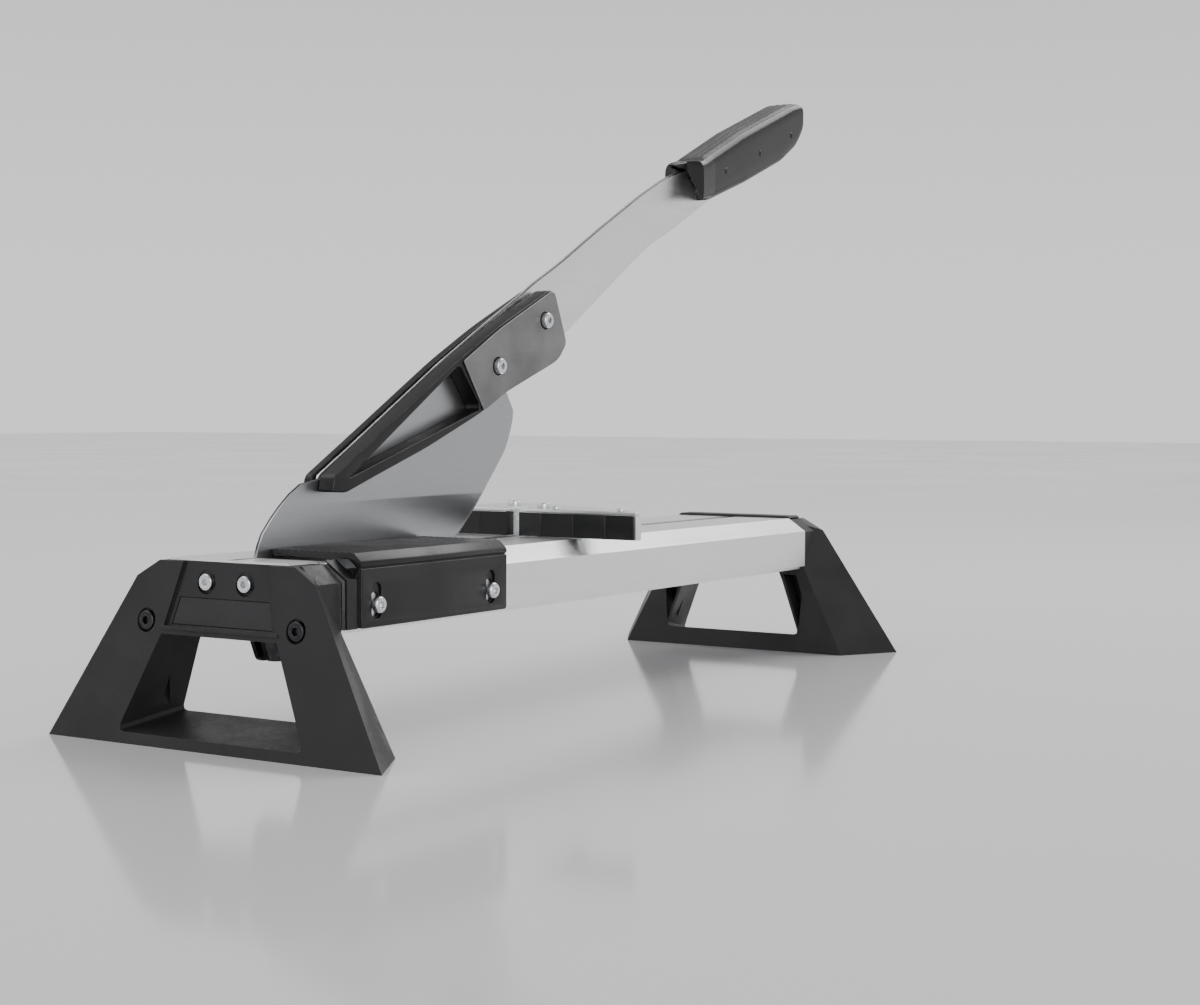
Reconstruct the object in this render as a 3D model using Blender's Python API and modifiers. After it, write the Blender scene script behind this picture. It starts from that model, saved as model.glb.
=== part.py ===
"""Lever cutter for floor tiles and planks, as separate closed solids in metres, +Z up.

X runs along the table from the front foot to the rear foot, and the blade works in the plane Y = 0.
The near side is -Y. The origin is the middle of the front foot's base.
"""
import math

import bmesh
import bpy
from mathutils import Matrix, Vector

# Overall layout
FOOT_PITCH = 0.7618
TABLE_Z = 0.1333
FIT = 0.0003

# Feet
FOOT_DEPTH = 0.0575
FOOT_LEAN = 0.1625
FOOT_HALF = 0.1575
FOOT_HALF_IN = 0.1235
SHOULDER_Y, SHOULDER_Z = 0.0846, 0.1206
CROWN_Y, CROWN_Z = 0.064, 0.1325
HEAD_BACK = 0.02514
HEAD_HALF, HEAD_LOW = 0.0786, 0.0833
BRACKET_SCREW_Y, BRACKET_SCREW_Z = 0.0183, 0.1182
RAIL_SCREW_Y, RAIL_SCREW_Z = 0.0709, 0.0888
PANEL_SINK = 0.0025
PLATE_SINK = 0.0020

# Rails
RAIL_HALF = 0.0816
RAIL_LOW = 0.0866
RAIL_WALL = 0.0025
CHANNEL_HALF = 0.0225
SLOT_NEAR, SLOT_FAR = -0.0035, 0.0020
DECK_LOW = 0.1303
RAIL_START = HEAD_BACK + FIT
RAIL_END = FOOT_PITCH - HEAD_BACK - FIT

# Near support
SUPPORT_X = (0.0390, 0.2165)
SUPPORT_TOP = 0.1406
SUPPORT_SCREW_X = (0.0563, 0.1953)
SUPPORT_SCREW_Z = 0.1027
SUPPORT_SLOT = (0.0925, 0.1185)
SUPPORT_SLOT_R = 0.0056

# Lever
PIVOT = Vector((0.04125, 0.0, 0.092))
BLADE_HALF = 0.0015
ARM_Y = (0.0018, 0.0058)
NEAR_CASTING_Y = (-0.0167, -0.0018)
FACE_PLATE_Y = (-0.0185, -0.0170)
FAR_CASTING_Y = (0.0061, 0.0130)
CARRIER_BOLTS = ((0.3000, 0.2772), (0.3693, 0.3175))
BLADE_SCREWS = ((0.1000, 0.1870), (0.2780, 0.2610))
RIVETS = ((0.6862, 0.4759), (0.7570, 0.5005), (0.8250, 0.5263))
HANDLE_HALF = 0.0185

# Fence
FENCE_X = 0.3498
FENCE_BAR = 0.0078
FENCE_WRAP = 0.0024
FENCE_TOP = 0.1543
FENCE_NEAR_Y = (-0.1220, -0.0055)
FENCE_FAR_Y = (0.0065, 0.0700)
FENCE_PIVOT = Vector((0.3744, -0.0133, 0.0))
FENCE_LOCK = Vector((0.4000, 0.0350, 0.0))
PLATE_THICK = 0.0025

ALONG_X = (math.pi / 2, 0, math.pi / 2)
ALONG_Y = (math.pi / 2, 0, 0)
ALONG_Z = (0, 0, 0)

for leftover in list(bpy.data.objects):
    bpy.data.objects.remove(leftover)
parts = bpy.data.collections.new("lever_tile_cutter")
cutters = bpy.data.collections.new("cutters")
bpy.context.scene.collection.children.link(parts)
bpy.context.scene.collection.children.link(cutters)


# ---- helpers -----------------------------------------------------------------------------

def material(name, colour, rough, metal):
    """A Principled material."""
    made = bpy.data.materials.new(name)
    made.use_nodes = True
    shader = made.node_tree.nodes["Principled BSDF"]
    shader.inputs["Base Color"].default_value = (*colour, 1)
    shader.inputs["Roughness"].default_value = rough
    shader.inputs["Metallic"].default_value = metal
    return made


BLACK = material("black_plastic", (0.035, 0.035, 0.037), 0.55, 0)
DARK_STEEL = material("blackened_steel", (0.06, 0.06, 0.063), 0.45, 1)
ALUMINIUM = material("satin_aluminium", (0.82, 0.83, 0.84), 0.35, 1)
STEEL = material("ground_steel", (0.55, 0.56, 0.58), 0.3, 1)
ZINC = material("bright_zinc", (0.75, 0.76, 0.78), 0.25, 1)
GREY = material("grey_die_cast", (0.30, 0.30, 0.31), 0.5, 0.6)
GRIP = material("soft_grip", (0.12, 0.12, 0.125), 0.7, 0)


def keep(thing, name, look=None):
    """Names an object, puts it with the parts (or the cutters) and gives it its material."""
    thing.name = name
    for home in list(thing.users_collection):
        home.objects.unlink(thing)
    if look is None:
        cutters.objects.link(thing)
        thing.hide_render = True
        thing.display_type = "WIRE"
        return thing
    parts.objects.link(thing)
    thing.data.materials.clear()
    thing.data.materials.append(look)
    thing.data.shade_smooth()
    thing.data.set_sharp_from_angle(angle=math.radians(30))
    return thing


def rounded(corners, steps=4):
    """An outline whose corners given as (u, v, radius) become arcs."""
    points = []
    for index, corner in enumerate(corners):
        here = Vector(corner[:2])
        if len(corner) == 2:
            points.append(here)
            continue
        before = (Vector(corners[index - 1][:2]) - here).normalized()
        after = (Vector(corners[(index + 1) % len(corners)][:2]) - here).normalized()
        half = before.angle(after) / 2
        centre = here + (before + after).normalized() * corner[2] / math.sin(half)
        start = here + before * corner[2] / math.tan(half) - centre
        end = here + after * corner[2] / math.tan(half) - centre
        sweep = start.angle_signed(end)
        for step in range(steps + 1):
            angle = -sweep * step / steps
            points.append(centre + Matrix.Rotation(angle, 2) @ start)
    return points


def circle(centre, radius, steps=16):
    """Points round a circle."""
    turns = [2 * math.pi * (step + 0.5) / steps for step in range(steps)]
    return [Vector((centre[0] + radius * math.cos(t), centre[1] + radius * math.sin(t))) for t in turns]


def stadium(centre, half_length, radius, steps=6):
    """A slot outline that runs along the second axis."""
    points = []
    for side in (1, -1):
        for step in range(steps + 1):
            angle = math.pi * step / steps + (0 if side > 0 else math.pi)
            points.append(Vector((centre[0] + radius * math.cos(angle),
                                  centre[1] + side * half_length + radius * math.sin(angle))))
    return points


def slab(name, facing, outlines, low, high, look=None):
    """A flat piece: outlines filled as one shape (holes inside), extruded from low to high."""
    drawing = bpy.data.curves.new(name, "CURVE")
    drawing.dimensions = "2D"
    drawing.fill_mode = "BOTH"
    drawing.extrude = (high - low) / 2
    for outline in outlines:
        spline = drawing.splines.new("POLY")
        spline.points.add(len(outline) - 1)
        for point, place in zip(spline.points, outline):
            point.co = (place[0], place[1], 0, 1)
        spline.use_cyclic_u = True
    flat = bpy.data.objects.new(name, drawing)
    flat.rotation_euler = facing
    middle = (low + high) / 2
    if facing == ALONG_X:
        flat.location = (middle, 0, 0)
    elif facing == ALONG_Y:
        flat.location = (0, middle, 0)
    else:
        flat.location = (0, 0, middle)
    cutters.objects.link(flat)
    bpy.context.view_layer.update()
    mesh = bpy.data.meshes.new_from_object(flat.evaluated_get(bpy.context.evaluated_depsgraph_get()))
    solid = bpy.data.objects.new(name, mesh)
    solid.matrix_world = flat.matrix_world
    bpy.data.objects.remove(flat)
    shape = bmesh.new()
    shape.from_mesh(mesh)
    bmesh.ops.remove_doubles(shape, verts=shape.verts, dist=0.00001)
    bmesh.ops.recalc_face_normals(shape, faces=shape.faces)
    shape.to_mesh(mesh)
    shape.free()
    cutters.objects.link(solid)
    return keep(solid, name, look)


def loft(name, points, look=None):
    """The convex solid between two unlike sections, given by their corner points."""
    mesh = bpy.data.meshes.new(name)
    shape = bmesh.new()
    for point in points:
        shape.verts.new(point)
    bmesh.ops.convex_hull(shape, input=shape.verts)
    bmesh.ops.recalc_face_normals(shape, faces=shape.faces)
    shape.to_mesh(mesh)
    shape.free()
    solid = bpy.data.objects.new(name, mesh)
    cutters.objects.link(solid)
    return keep(solid, name, look)


def turned(name, profile, place, direction, look=None, steps=16):
    """A turned piece: (radius, height) points down the outer side, spun, then set along a direction."""
    mesh = bpy.data.meshes.new(name)
    mesh.from_pydata([(r, 0, h) for r, h in profile], [(i, i + 1) for i in range(len(profile) - 1)], [])
    solid = bpy.data.objects.new(name, mesh)
    cutters.objects.link(solid)
    spin = solid.modifiers.new("spin", "SCREW")
    spin.steps = spin.render_steps = steps
    spin.use_merge_vertices = True
    spin.merge_threshold = 0.00001
    spin.use_normal_calculate = True
    solid.rotation_euler = Vector(direction).to_track_quat("Z", "Y").to_euler()
    solid.location = place
    bpy.context.view_layer.update()
    mesh = bpy.data.meshes.new_from_object(solid.evaluated_get(bpy.context.evaluated_depsgraph_get()))
    solid.modifiers.clear()
    solid.data = mesh
    shape = bmesh.new()
    shape.from_mesh(mesh)
    bmesh.ops.remove_doubles(shape, verts=shape.verts, dist=0.00001)
    bmesh.ops.recalc_face_normals(shape, faces=shape.faces)
    shape.to_mesh(mesh)
    shape.free()
    return keep(solid, name, look)


def block(name, low, high, look=None):
    """A box between two corners."""
    low, high = Vector(low), Vector(high)
    bpy.ops.mesh.primitive_cube_add(size=1, location=(low + high) / 2)
    solid = bpy.context.object
    solid.scale = high - low
    bpy.ops.object.transform_apply(location=False, rotation=False, scale=True)
    return keep(solid, name, look)


def combine(target, other, operation="DIFFERENCE"):
    """Cuts a piece with another, or joins another to it."""
    change = target.modifiers.new(operation.lower(), "BOOLEAN")
    change.operation = operation
    change.solver = "EXACT"
    change.object = other
    return target


def drill(target, name, place, direction, radius, depth, steps=16):
    """A round hole from a place along a direction."""
    tool = turned(name, [(0, depth), (radius, depth), (radius, 0), (0, 0)], place, direction, steps=steps)
    return combine(target, tool)


def counterbore(target, name, place, direction, wide, narrow):
    """A wide recess that opens along a direction, with a narrow hole on through the piece behind it."""
    profile = [(0, 0.02), (wide, 0.02), (wide, 0), (narrow, 0), (narrow, -0.06), (0, -0.06)]
    return combine(target, turned(name, profile, place, direction))


def socket_screw(name, place, direction, head, shank, look, socket=True):
    """A cap screw: head (radius, height), shank (radius, length); the head points along direction."""
    radius, height = head
    top = [(0, height * 0.4), (radius * 0.45, height * 0.4),
           (radius * 0.45, height)] if socket else [(0, height)]
    profile = top + [(radius * 0.86, height), (radius, height * 0.8), (radius, 0),
                     (shank[0], 0), (shank[0], -shank[1]), (0, -shank[1])]
    return turned(name, profile, place, direction, look, 12)


def hang_on(pivot, things):
    """Parents pieces to an empty on their joint's axis, leaving them where they are."""
    for thing in things:
        thing.parent = pivot
        thing.matrix_parent_inverse = Matrix.Translation(-pivot.location)


def axis_empty(name, place):
    """An empty that marks a joint's axis."""
    mark = bpy.data.objects.new(name, None)
    mark.location = place
    parts.objects.link(mark)
    return mark


# ---- feet --------------------------------------------------------------------------------

def face_x(z):
    """X of the leaning outer face at a height."""
    return -FOOT_DEPTH / 2 + FOOT_LEAN * z


def panel_x(z):
    """X of the recessed panel between the legs at a height."""
    return face_x(z) + PANEL_SINK


def both_sides(points):
    """Points and their mirror images across Y = 0."""
    return [Vector((x, side * y, z)) for x, y, z in points for side in (1, -1)]


REAR_CAP = ((0.0560, 0.1260), (0.0640, 0.1338), (0.0615, 0.1356))
WINDOW_FRONT = ((0.0835, 0.0070), (0.0866, 0.0080), (0.0873, 0.0112), (0.0560, 0.0800))
WINDOW_BACK = ((0.0695, 0.0190), (0.0727, 0.0200), (0.0732, 0.0230), (0.0510, 0.0800))


def foot(end):
    """An A-frame foot with its window, head block, pockets and screw holes."""
    frame = loft(f"{end}_foot", both_sides([
        (face_x(0), FOOT_HALF, 0), (face_x(SHOULDER_Z), SHOULDER_Y, SHOULDER_Z),
        (face_x(CROWN_Z), CROWN_Y, CROWN_Z), (FOOT_DEPTH / 2, FOOT_HALF_IN, 0),
        (HEAD_BACK - 0.004, 0.060, SHOULDER_Z), (HEAD_BACK - 0.004, 0.055, CROWN_Z)]), BLACK)
    head = loft(f"{end}_head_block", both_sides([
        (0.0, HEAD_HALF, HEAD_LOW), (0.0, HEAD_HALF, 0.1200), (0.0, CROWN_Y, CROWN_Z),
        (HEAD_BACK, HEAD_HALF, HEAD_LOW), (HEAD_BACK, HEAD_HALF, 0.1200), (HEAD_BACK, CROWN_Y, CROWN_Z)]))
    combine(frame, head, "UNION")
    if end == "rear":
        cap = loft("rear_head_cap", both_sides([(x, y, z) for x in (0.0035, 0.0246)
                                                for y, z in REAR_CAP]))
        combine(frame, cap, "UNION")
    panel = loft(f"{end}_panel_recess", both_sides([
        (face_x(0.0850) - 0.006, 0.0535, 0.0850), (face_x(0.1360) - 0.006, 0.0395, 0.1360),
        (panel_x(0.0850), 0.0535, 0.0850), (panel_x(0.1360), 0.0395, 0.1360)]))
    combine(frame, panel)
    window = loft(f"{end}_window", both_sides(
        [(-0.034, y, z) for y, z in WINDOW_FRONT] + [(0.034, y, z) for y, z in WINDOW_BACK]))
    combine(frame, window)
    for side in (1, -1):
        pocket = loft(f"{end}_leg_pocket_{'far' if side > 0 else 'near'}",
                      [Vector((x, side * y, z)) for x in (0.006, 0.034)
                       for y, z in ((0.0575, 0.0770), (0.0715, 0.0770), (0.0785, 0.0570),
                                    (0.0758, 0.0236))])
        combine(frame, pocket)
    lip = loft(f"{end}_panel_lip", both_sides([
        (face_x(0.0836) - 0.0014, 0.0556, 0.0836), (face_x(0.0862) - 0.0014, 0.0549, 0.0862),
        (0.004, 0.0556, 0.0836), (0.004, 0.0549, 0.0862)]))
    combine(frame, lip, "UNION")
    recess = loft(f"{end}_plate_recess", both_sides([
        (panel_x(0.0870) - 0.006, 0.0480, 0.0870), (panel_x(0.1070) - 0.006, 0.0425, 0.1070),
        (panel_x(0.0870) + PLATE_SINK, 0.0480, 0.0870), (panel_x(0.1070) + PLATE_SINK, 0.0425, 0.1070)]))
    combine(frame, recess)
    slot = block(f"{end}_heel_slot", (-0.0020, -0.0030, 0.070), (0.040, 0.0030, 0.150))
    if end == "front":
        combine(frame, slot)
    else:
        bpy.data.objects.remove(slot)
    for side, where in ((1, "far"), (-1, "near")):
        y, z = side * BRACKET_SCREW_Y, BRACKET_SCREW_Z
        counterbore(frame, f"{end}_bracket_bore_{where}", (face_x(z) + 0.0045, y, z), (-1, 0, 0), 0.0088,
                    0.0033)
        y, z = side * RAIL_SCREW_Y, RAIL_SCREW_Z
        counterbore(frame, f"{end}_rail_bore_{where}", (face_x(z) + 0.0035, y, z), (-1, 0, 0), 0.0088,
                    0.0028)
    return [frame] + foot_fittings(end)


def foot_fittings(end):
    """The blank plate and the four screws in a foot's head."""
    plate = loft(f"{end}_nameplate", both_sides([
        (panel_x(0.0873) + PLATE_SINK - FIT, 0.0476, 0.0873), (panel_x(0.1067) + PLATE_SINK - FIT, 0.0421,
                                                               0.1067),
        (panel_x(0.0873) + 0.0004, 0.0476, 0.0873), (panel_x(0.1067) + 0.0004, 0.0421, 0.1067)]), BLACK)
    made = [plate]
    for side, where in ((1, "far"), (-1, "near")):
        y, z = side * BRACKET_SCREW_Y, BRACKET_SCREW_Z
        made.append(socket_screw(f"{end}_bracket_screw_{where}", (face_x(z) + 0.0045 - FIT, y, z),
                                 (-1, 0, 0),
                                 (0.0060, 0.0040), (0.0030, 0.0390), ZINC))
        y, z = side * RAIL_SCREW_Y, RAIL_SCREW_Z
        made.append(socket_screw(f"{end}_rail_screw_{where}", (face_x(z) + 0.0035 - FIT, y, z), (-1, 0, 0),
                                 (0.0070, 0.0040), (0.0025, 0.0550), DARK_STEEL))
    return made


def feet():
    """Both feet; the rear one is the front one turned half round about the table's middle."""
    front = foot("front")
    rear = foot("rear")
    centre = axis_empty("rear_foot_place", (FOOT_PITCH, 0, 0))
    centre.rotation_euler = (0, 0, math.pi)
    turned_tools = [tool for tool in cutters.objects if tool.name.startswith("rear_")]
    for thing in rear + turned_tools:
        thing.parent = centre
    return front + rear


def head_plate():
    """The aluminium wear plate on the front head, slotted for the blade's heel."""
    outline = [(-0.0042, -0.0560), (0.0247, -0.0580), (0.0247, -0.0033), (-0.0020, -0.0033),
               (-0.0020, 0.0033),
               (0.0247, 0.0033), (0.0247, 0.0580), (-0.0042, 0.0560)]
    return slab("head_plate", ALONG_Z, [outline], CROWN_Z + FIT, CROWN_Z + 0.0018, ALUMINIUM)


# ---- table -------------------------------------------------------------------------------

def rail_outline(side, edge):
    """Outer section of a rail as (y, z) points, with its screw rib below."""
    step = 0.0080 if side > 0 else 0.0
    inner = [(edge + step, TABLE_Z), (edge + step, DECK_LOW)] if step == 0 else [
        (0.0103, TABLE_Z), (0.0103, DECK_LOW), (edge + FIT, DECK_LOW), (edge + FIT, DECK_LOW - 0.0030)]
    ceiling = DECK_LOW if side < 0 else DECK_LOW - 0.0030
    return [(side * RAIL_HALF, RAIL_LOW), (side * RAIL_HALF, 0.1212), (side * 0.0637, TABLE_Z)] + inner + [
        (side * CHANNEL_HALF, ceiling), (side * CHANNEL_HALF, RAIL_LOW), (side * 0.0654, RAIL_LOW),
        (side * 0.0654, 0.0836), (side * 0.0764, 0.0836), (side * 0.0764, RAIL_LOW)]


def rail_hollow(side):
    """The open chamber inside a rail."""
    inner, floor, under = CHANNEL_HALF + RAIL_WALL, RAIL_LOW + RAIL_WALL, TABLE_Z - RAIL_WALL
    corners = [(RAIL_HALF - RAIL_WALL, 0.0960), (RAIL_HALF - RAIL_WALL, 0.1201), (0.0628, under),
               (inner, under - 0.0030), (inner, floor), (0.0620, floor), (0.0620, 0.0960)]
    return [(side * y, z) for y, z in corners]


def rails():
    """The two extrusions; the near one is milled down under the support."""
    made = []
    for side, where, edge in ((-1, "near", SLOT_NEAR), (1, "far", SLOT_FAR)):
        port = circle((side * RAIL_SCREW_Y, RAIL_SCREW_Z), 0.0027, 12)
        made.append(slab(f"rail_{where}", ALONG_X, [rail_outline(side, edge), rail_hollow(side), port],
                         RAIL_START, RAIL_END, ALUMINIUM))
    near, far = made
    combine(near, block("support_pocket", (SUPPORT_X[0] - 0.0013, -0.09, 0.1230),
                        (SUPPORT_X[1] + 0.0015, 0.0, 0.15)))
    for number, x in enumerate(SUPPORT_SCREW_X):
        drill(near, f"support_screw_hole_{number}", (x, -0.074, SUPPORT_SCREW_Z), (0, -1, 0), 0.0032, 0.02)
    drill(near, "fence_pivot_hole", (FENCE_PIVOT.x, FENCE_PIVOT.y, 0.120), (0, 0, 1), 0.0033, 0.02)
    drill(far, "fence_lock_hole", (FENCE_LOCK.x, FENCE_LOCK.y, 0.120), (0, 0, 1), 0.0033, 0.02)
    for number, x in enumerate(counter_screw_places()):
        drill(far, f"counter_screw_hole_{number}", (x, 0.0062, 0.120), (0, 0, 1), 0.0018, 0.02, 12)
    return made


def counter_screw_places():
    """X of the counter blade's screws."""
    return [0.085 + 0.2875 * number for number in range(3)]


def counter_blade():
    """The steel strip on the far side of the slot, and its countersunk screws."""
    strip = block("counter_blade", (RAIL_START + 0.0002, SLOT_FAR, DECK_LOW + FIT),
                  (RAIL_END - 0.0002, 0.0100, TABLE_Z), STEEL)
    made = [strip]
    for number, x in enumerate(counter_screw_places()):
        sink = [(0, 0.006), (0.0031, 0.006), (0.0031, 0.0), (0.0018, -0.0018), (0.0018, -0.006),
                (0, -0.006)]
        tool = turned(f"counter_sink_{number}", sink, (x, 0.0062, TABLE_Z), (0, 0, 1), steps=12)
        combine(strip, tool)
        made.append(turned(f"counter_screw_{number + 1}", [(0, -0.0012), (0.0012, -0.0012),
                                                           (0.0012, -0.0002),
                    (0.0026, -0.0002), (0.0014, -0.0018), (0.0014, -0.0075), (0, -0.0075)],
                    (x, 0.0062, TABLE_Z), (0, 0, 1), ZINC, 12))
    return made


def rail_collar():
    """The black strip round the near rail in front of the support."""
    inner, outer = -RAIL_HALF - 0.0005, -RAIL_HALF - 0.0019
    outline = [(inner, 0.0868), (inner, 0.1214), (-0.0640, TABLE_Z + 0.0006), (-0.0640, TABLE_Z + 0.0022),
               (outer, 0.1222), (outer, 0.0868)]
    return slab("rail_collar", ALONG_X, [outline], RAIL_START, 0.0372, BLACK)


def pivot_brackets():
    """The angle brackets behind the front head, with the pivot bolt, nut and washers."""
    made = []
    low, high = 0.0838, 0.1265
    for side, where in ((-1, "near"), (1, "far")):
        ear = slab(f"pivot_bracket_{where}", ALONG_Y,
                   [rounded([(RAIL_START, 0.0730), (0.0315, 0.0590, 0.006), (0.0500, 0.0575, 0.012),
                             (0.0640, 0.0760, 0.014), (0.0620, high, 0.012), (RAIL_START, high)]),
                    circle((PIVOT.x, PIVOT.z), 0.0053)],
                   min(side * 0.0031, side * 0.0069), max(side * 0.0031, side * 0.0069), DARK_STEEL)
        flange = block(f"bracket_flange_{where}", (RAIL_START, min(side * 0.0050, side * 0.0221), low),
                       (RAIL_START + 0.0060, max(side * 0.0050, side * 0.0221), high - 0.0004))
        combine(ear, flange, "UNION")
        drill(ear, f"flange_hole_{where}", (0.02, side * BRACKET_SCREW_Y, BRACKET_SCREW_Z), (1, 0, 0),
              0.0032, 0.02)
        made.append(ear)
        made.append(turned(f"pivot_washer_{where}", [(0.0054, 0.0010), (0.0090, 0.0010), (0.0090, 0),
                                                     (0.0054, 0),
                    (0.0054, 0.0010)], (PIVOT.x, side * 0.0018, PIVOT.z), (0, side, 0), ZINC))
    made.append(turned("pivot_bolt", [(0, 0.0045), (0.0085, 0.0045), (0.0085, 0), (0.0049, 0),
                                      (0.0049, -0.0205),
                       (0, -0.0205)], (PIVOT.x, -0.0072, PIVOT.z), (0, -1, 0), ZINC, 24))
    made.append(turned("pivot_nut", [(0.0059, 0.0050), (0.0095, 0.0050), (0.0095, 0), (0.0059, 0),
                                     (0.0059, 0.0050)],
                       (PIVOT.x, 0.0072, PIVOT.z), (0, 1, 0), ZINC, 6))
    tie = block("rear_tie_plate", (RAIL_END - 0.0060, -0.0221, 0.0870), (RAIL_END, 0.0221, 0.1265),
                DARK_STEEL)
    for side, where in ((-1, "near"), (1, "far")):
        drill(tie, f"tie_hole_{where}", (RAIL_END - 0.01, side * BRACKET_SCREW_Y, BRACKET_SCREW_Z),
              (1, 0, 0), 0.0032, 0.02)
    return made + [tie]


# ---- near support ------------------------------------------------------------------------

def near_support():
    """The black channel that lifts and lowers beside the blade, with a slot at each end."""
    skirt = -RAIL_HALF - 0.0005
    outer = -0.0856
    outline = [(outer, RAIL_LOW), (outer, 0.1283), (outer + 0.0014, 0.1291), (outer + 0.0014, 0.1306),
               (outer, 0.1316), (outer, 0.1336), (outer + 0.0080, SUPPORT_TOP), (SLOT_NEAR, SUPPORT_TOP),
               (SLOT_NEAR, 0.1356), (-0.0740, 0.1356), (skirt, 0.1290), (skirt, RAIL_LOW)]
    cover = slab("near_support", ALONG_X, [outline], SUPPORT_X[0], SUPPORT_X[1], BLACK)
    for number, x in enumerate(SUPPORT_SCREW_X):
        middle = sum(SUPPORT_SLOT) / 2
        half = (SUPPORT_SLOT[1] - SUPPORT_SLOT[0]) / 2 - SUPPORT_SLOT_R
        combine(cover, slab(f"support_slot_{number}", ALONG_Y, [stadium((x, middle), half, SUPPORT_SLOT_R)],
                            -0.095, -0.078))
    return cover


def support_screws():
    """The shoulder screws that clamp the support to the near rail."""
    made = []
    for x, where in zip(SUPPORT_SCREW_X, ("front", "rear")):
        profile = [(0, 0.0022), (0.0028, 0.0022), (0.0028, 0.0045), (0.0052, 0.0045), (0.0062, 0.0034),
                   (0.0062, 0),
                   (0.0041, 0), (0.0041, -0.0041), (0.0030, -0.0041), (0.0030, -0.0140), (0, -0.0140)]
        made.append(turned(f"support_screw_{where}", profile, (x, -0.0856 - FIT, SUPPORT_SCREW_Z),
                           (0, -1, 0), ZINC))
    return made


# ---- lever -------------------------------------------------------------------------------

def heel_arc():
    """The round heel of the blade about the pivot, from its front to its underside."""
    return [(PIVOT.x + 0.0165 * math.cos(math.radians(a)), PIVOT.z + 0.0165 * math.sin(math.radians(a)))
            for a in range(180, 286, 15)]


def cutting_edge(steps=12):
    """The convex edge: a cubic curve from the heel to the tip."""
    a, b, c, d = (Vector(p) for p in ((0.060, 0.0775), (0.200, 0.0870), (0.268, 0.1180), (0.3332, 0.2070)))
    points = []
    for step in range(steps + 1):
        t = step / steps
        points.append(a * (1 - t) ** 3 + b * 3 * t * (1 - t) ** 2 + c * 3 * t * t * (1 - t) + d * t ** 3)
    return points


def carrier_outline():
    """Side outline of the castings, anticlockwise from the lower front corner."""
    return rounded([(0.0900, 0.1800), (0.1060, 0.1790), (0.1436, 0.1913), (0.2066, 0.2116),
                    (0.2795, 0.2390),
                    (0.3123, 0.2551), (0.3900, 0.2832, 0.007), (0.4035, 0.2990, 0.004),
                    (0.3835, 0.3465, 0.008), (0.3027, 0.3100), (0.2469, 0.2812), (0.1440, 0.2214),
                    (0.0930, 0.1920)])


def window_outline():
    """The triangular opening in the near casting."""
    return rounded([(0.1100, 0.1900, 0.0015), (0.2796, 0.2423, 0.004), (0.2490, 0.2775, 0.002)])


def blade():
    """The blade with its pivot bush."""
    front = [(0.0240, 0.1150), (0.0230, 0.1340), (0.0307, 0.1517), (0.0500, 0.1710), (0.0727, 0.1872),
             (0.0960, 0.1925)]
    back = [(0.1440, 0.2200), (0.2469, 0.2798), (0.3000, 0.3070), (0.3240, 0.2740), (0.3457, 0.2408),
            (0.3436, 0.2283)]
    outline = heel_arc() + cutting_edge() + back[::-1] + front[::-1]
    holes = [circle((PIVOT.x, PIVOT.z), 0.0083), circle(CARRIER_BOLTS[0], 0.0042)]
    holes += [circle(place, 0.0027, 12) for place in BLADE_SCREWS]
    plate = slab("blade", ALONG_Y, [outline] + holes, -BLADE_HALF, BLADE_HALF, STEEL)
    bush = turned("blade_bush", [(0.0053, 0.0015), (0.0080, 0.0015), (0.0080, -0.0015), (0.0053, -0.0015),
                  (0.0053, 0.0015)], PIVOT, (0, 1, 0), DARK_STEEL, 24)
    return [plate, bush]


def lever_arm():
    """The flat arm from the carrier to the handle."""
    outline = [(0.0940, 0.1830), (0.2066, 0.2150), (0.3123, 0.2585), (0.4020, 0.2940), (0.4308, 0.3085),
               (0.4585, 0.3258), (0.5022, 0.3530), (0.5487, 0.3814), (0.5746, 0.3965), (0.6143, 0.4130),
               (0.6628, 0.4362), (0.7400, 0.4760), (0.8400, 0.5260), (0.8360, 0.5420), (0.7300, 0.5100),
               (0.6600, 0.4800), (0.6012, 0.4616), (0.5555, 0.4406), (0.4859, 0.4048), (0.4203, 0.3694),
               (0.3790, 0.3495), (0.3661, 0.3420), (0.3000, 0.3078), (0.2469, 0.2792), (0.1440, 0.2190),
               (0.0960, 0.1915)]
    holes = [circle(place, 0.0042) for place in CARRIER_BOLTS]
    holes += [circle(place, 0.0027, 12) for place in BLADE_SCREWS]
    holes += [circle(place, 0.0028, 12) for place in RIVETS]
    return slab("lever_arm", ALONG_Y, [outline] + holes, *ARM_Y, STEEL)


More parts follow.
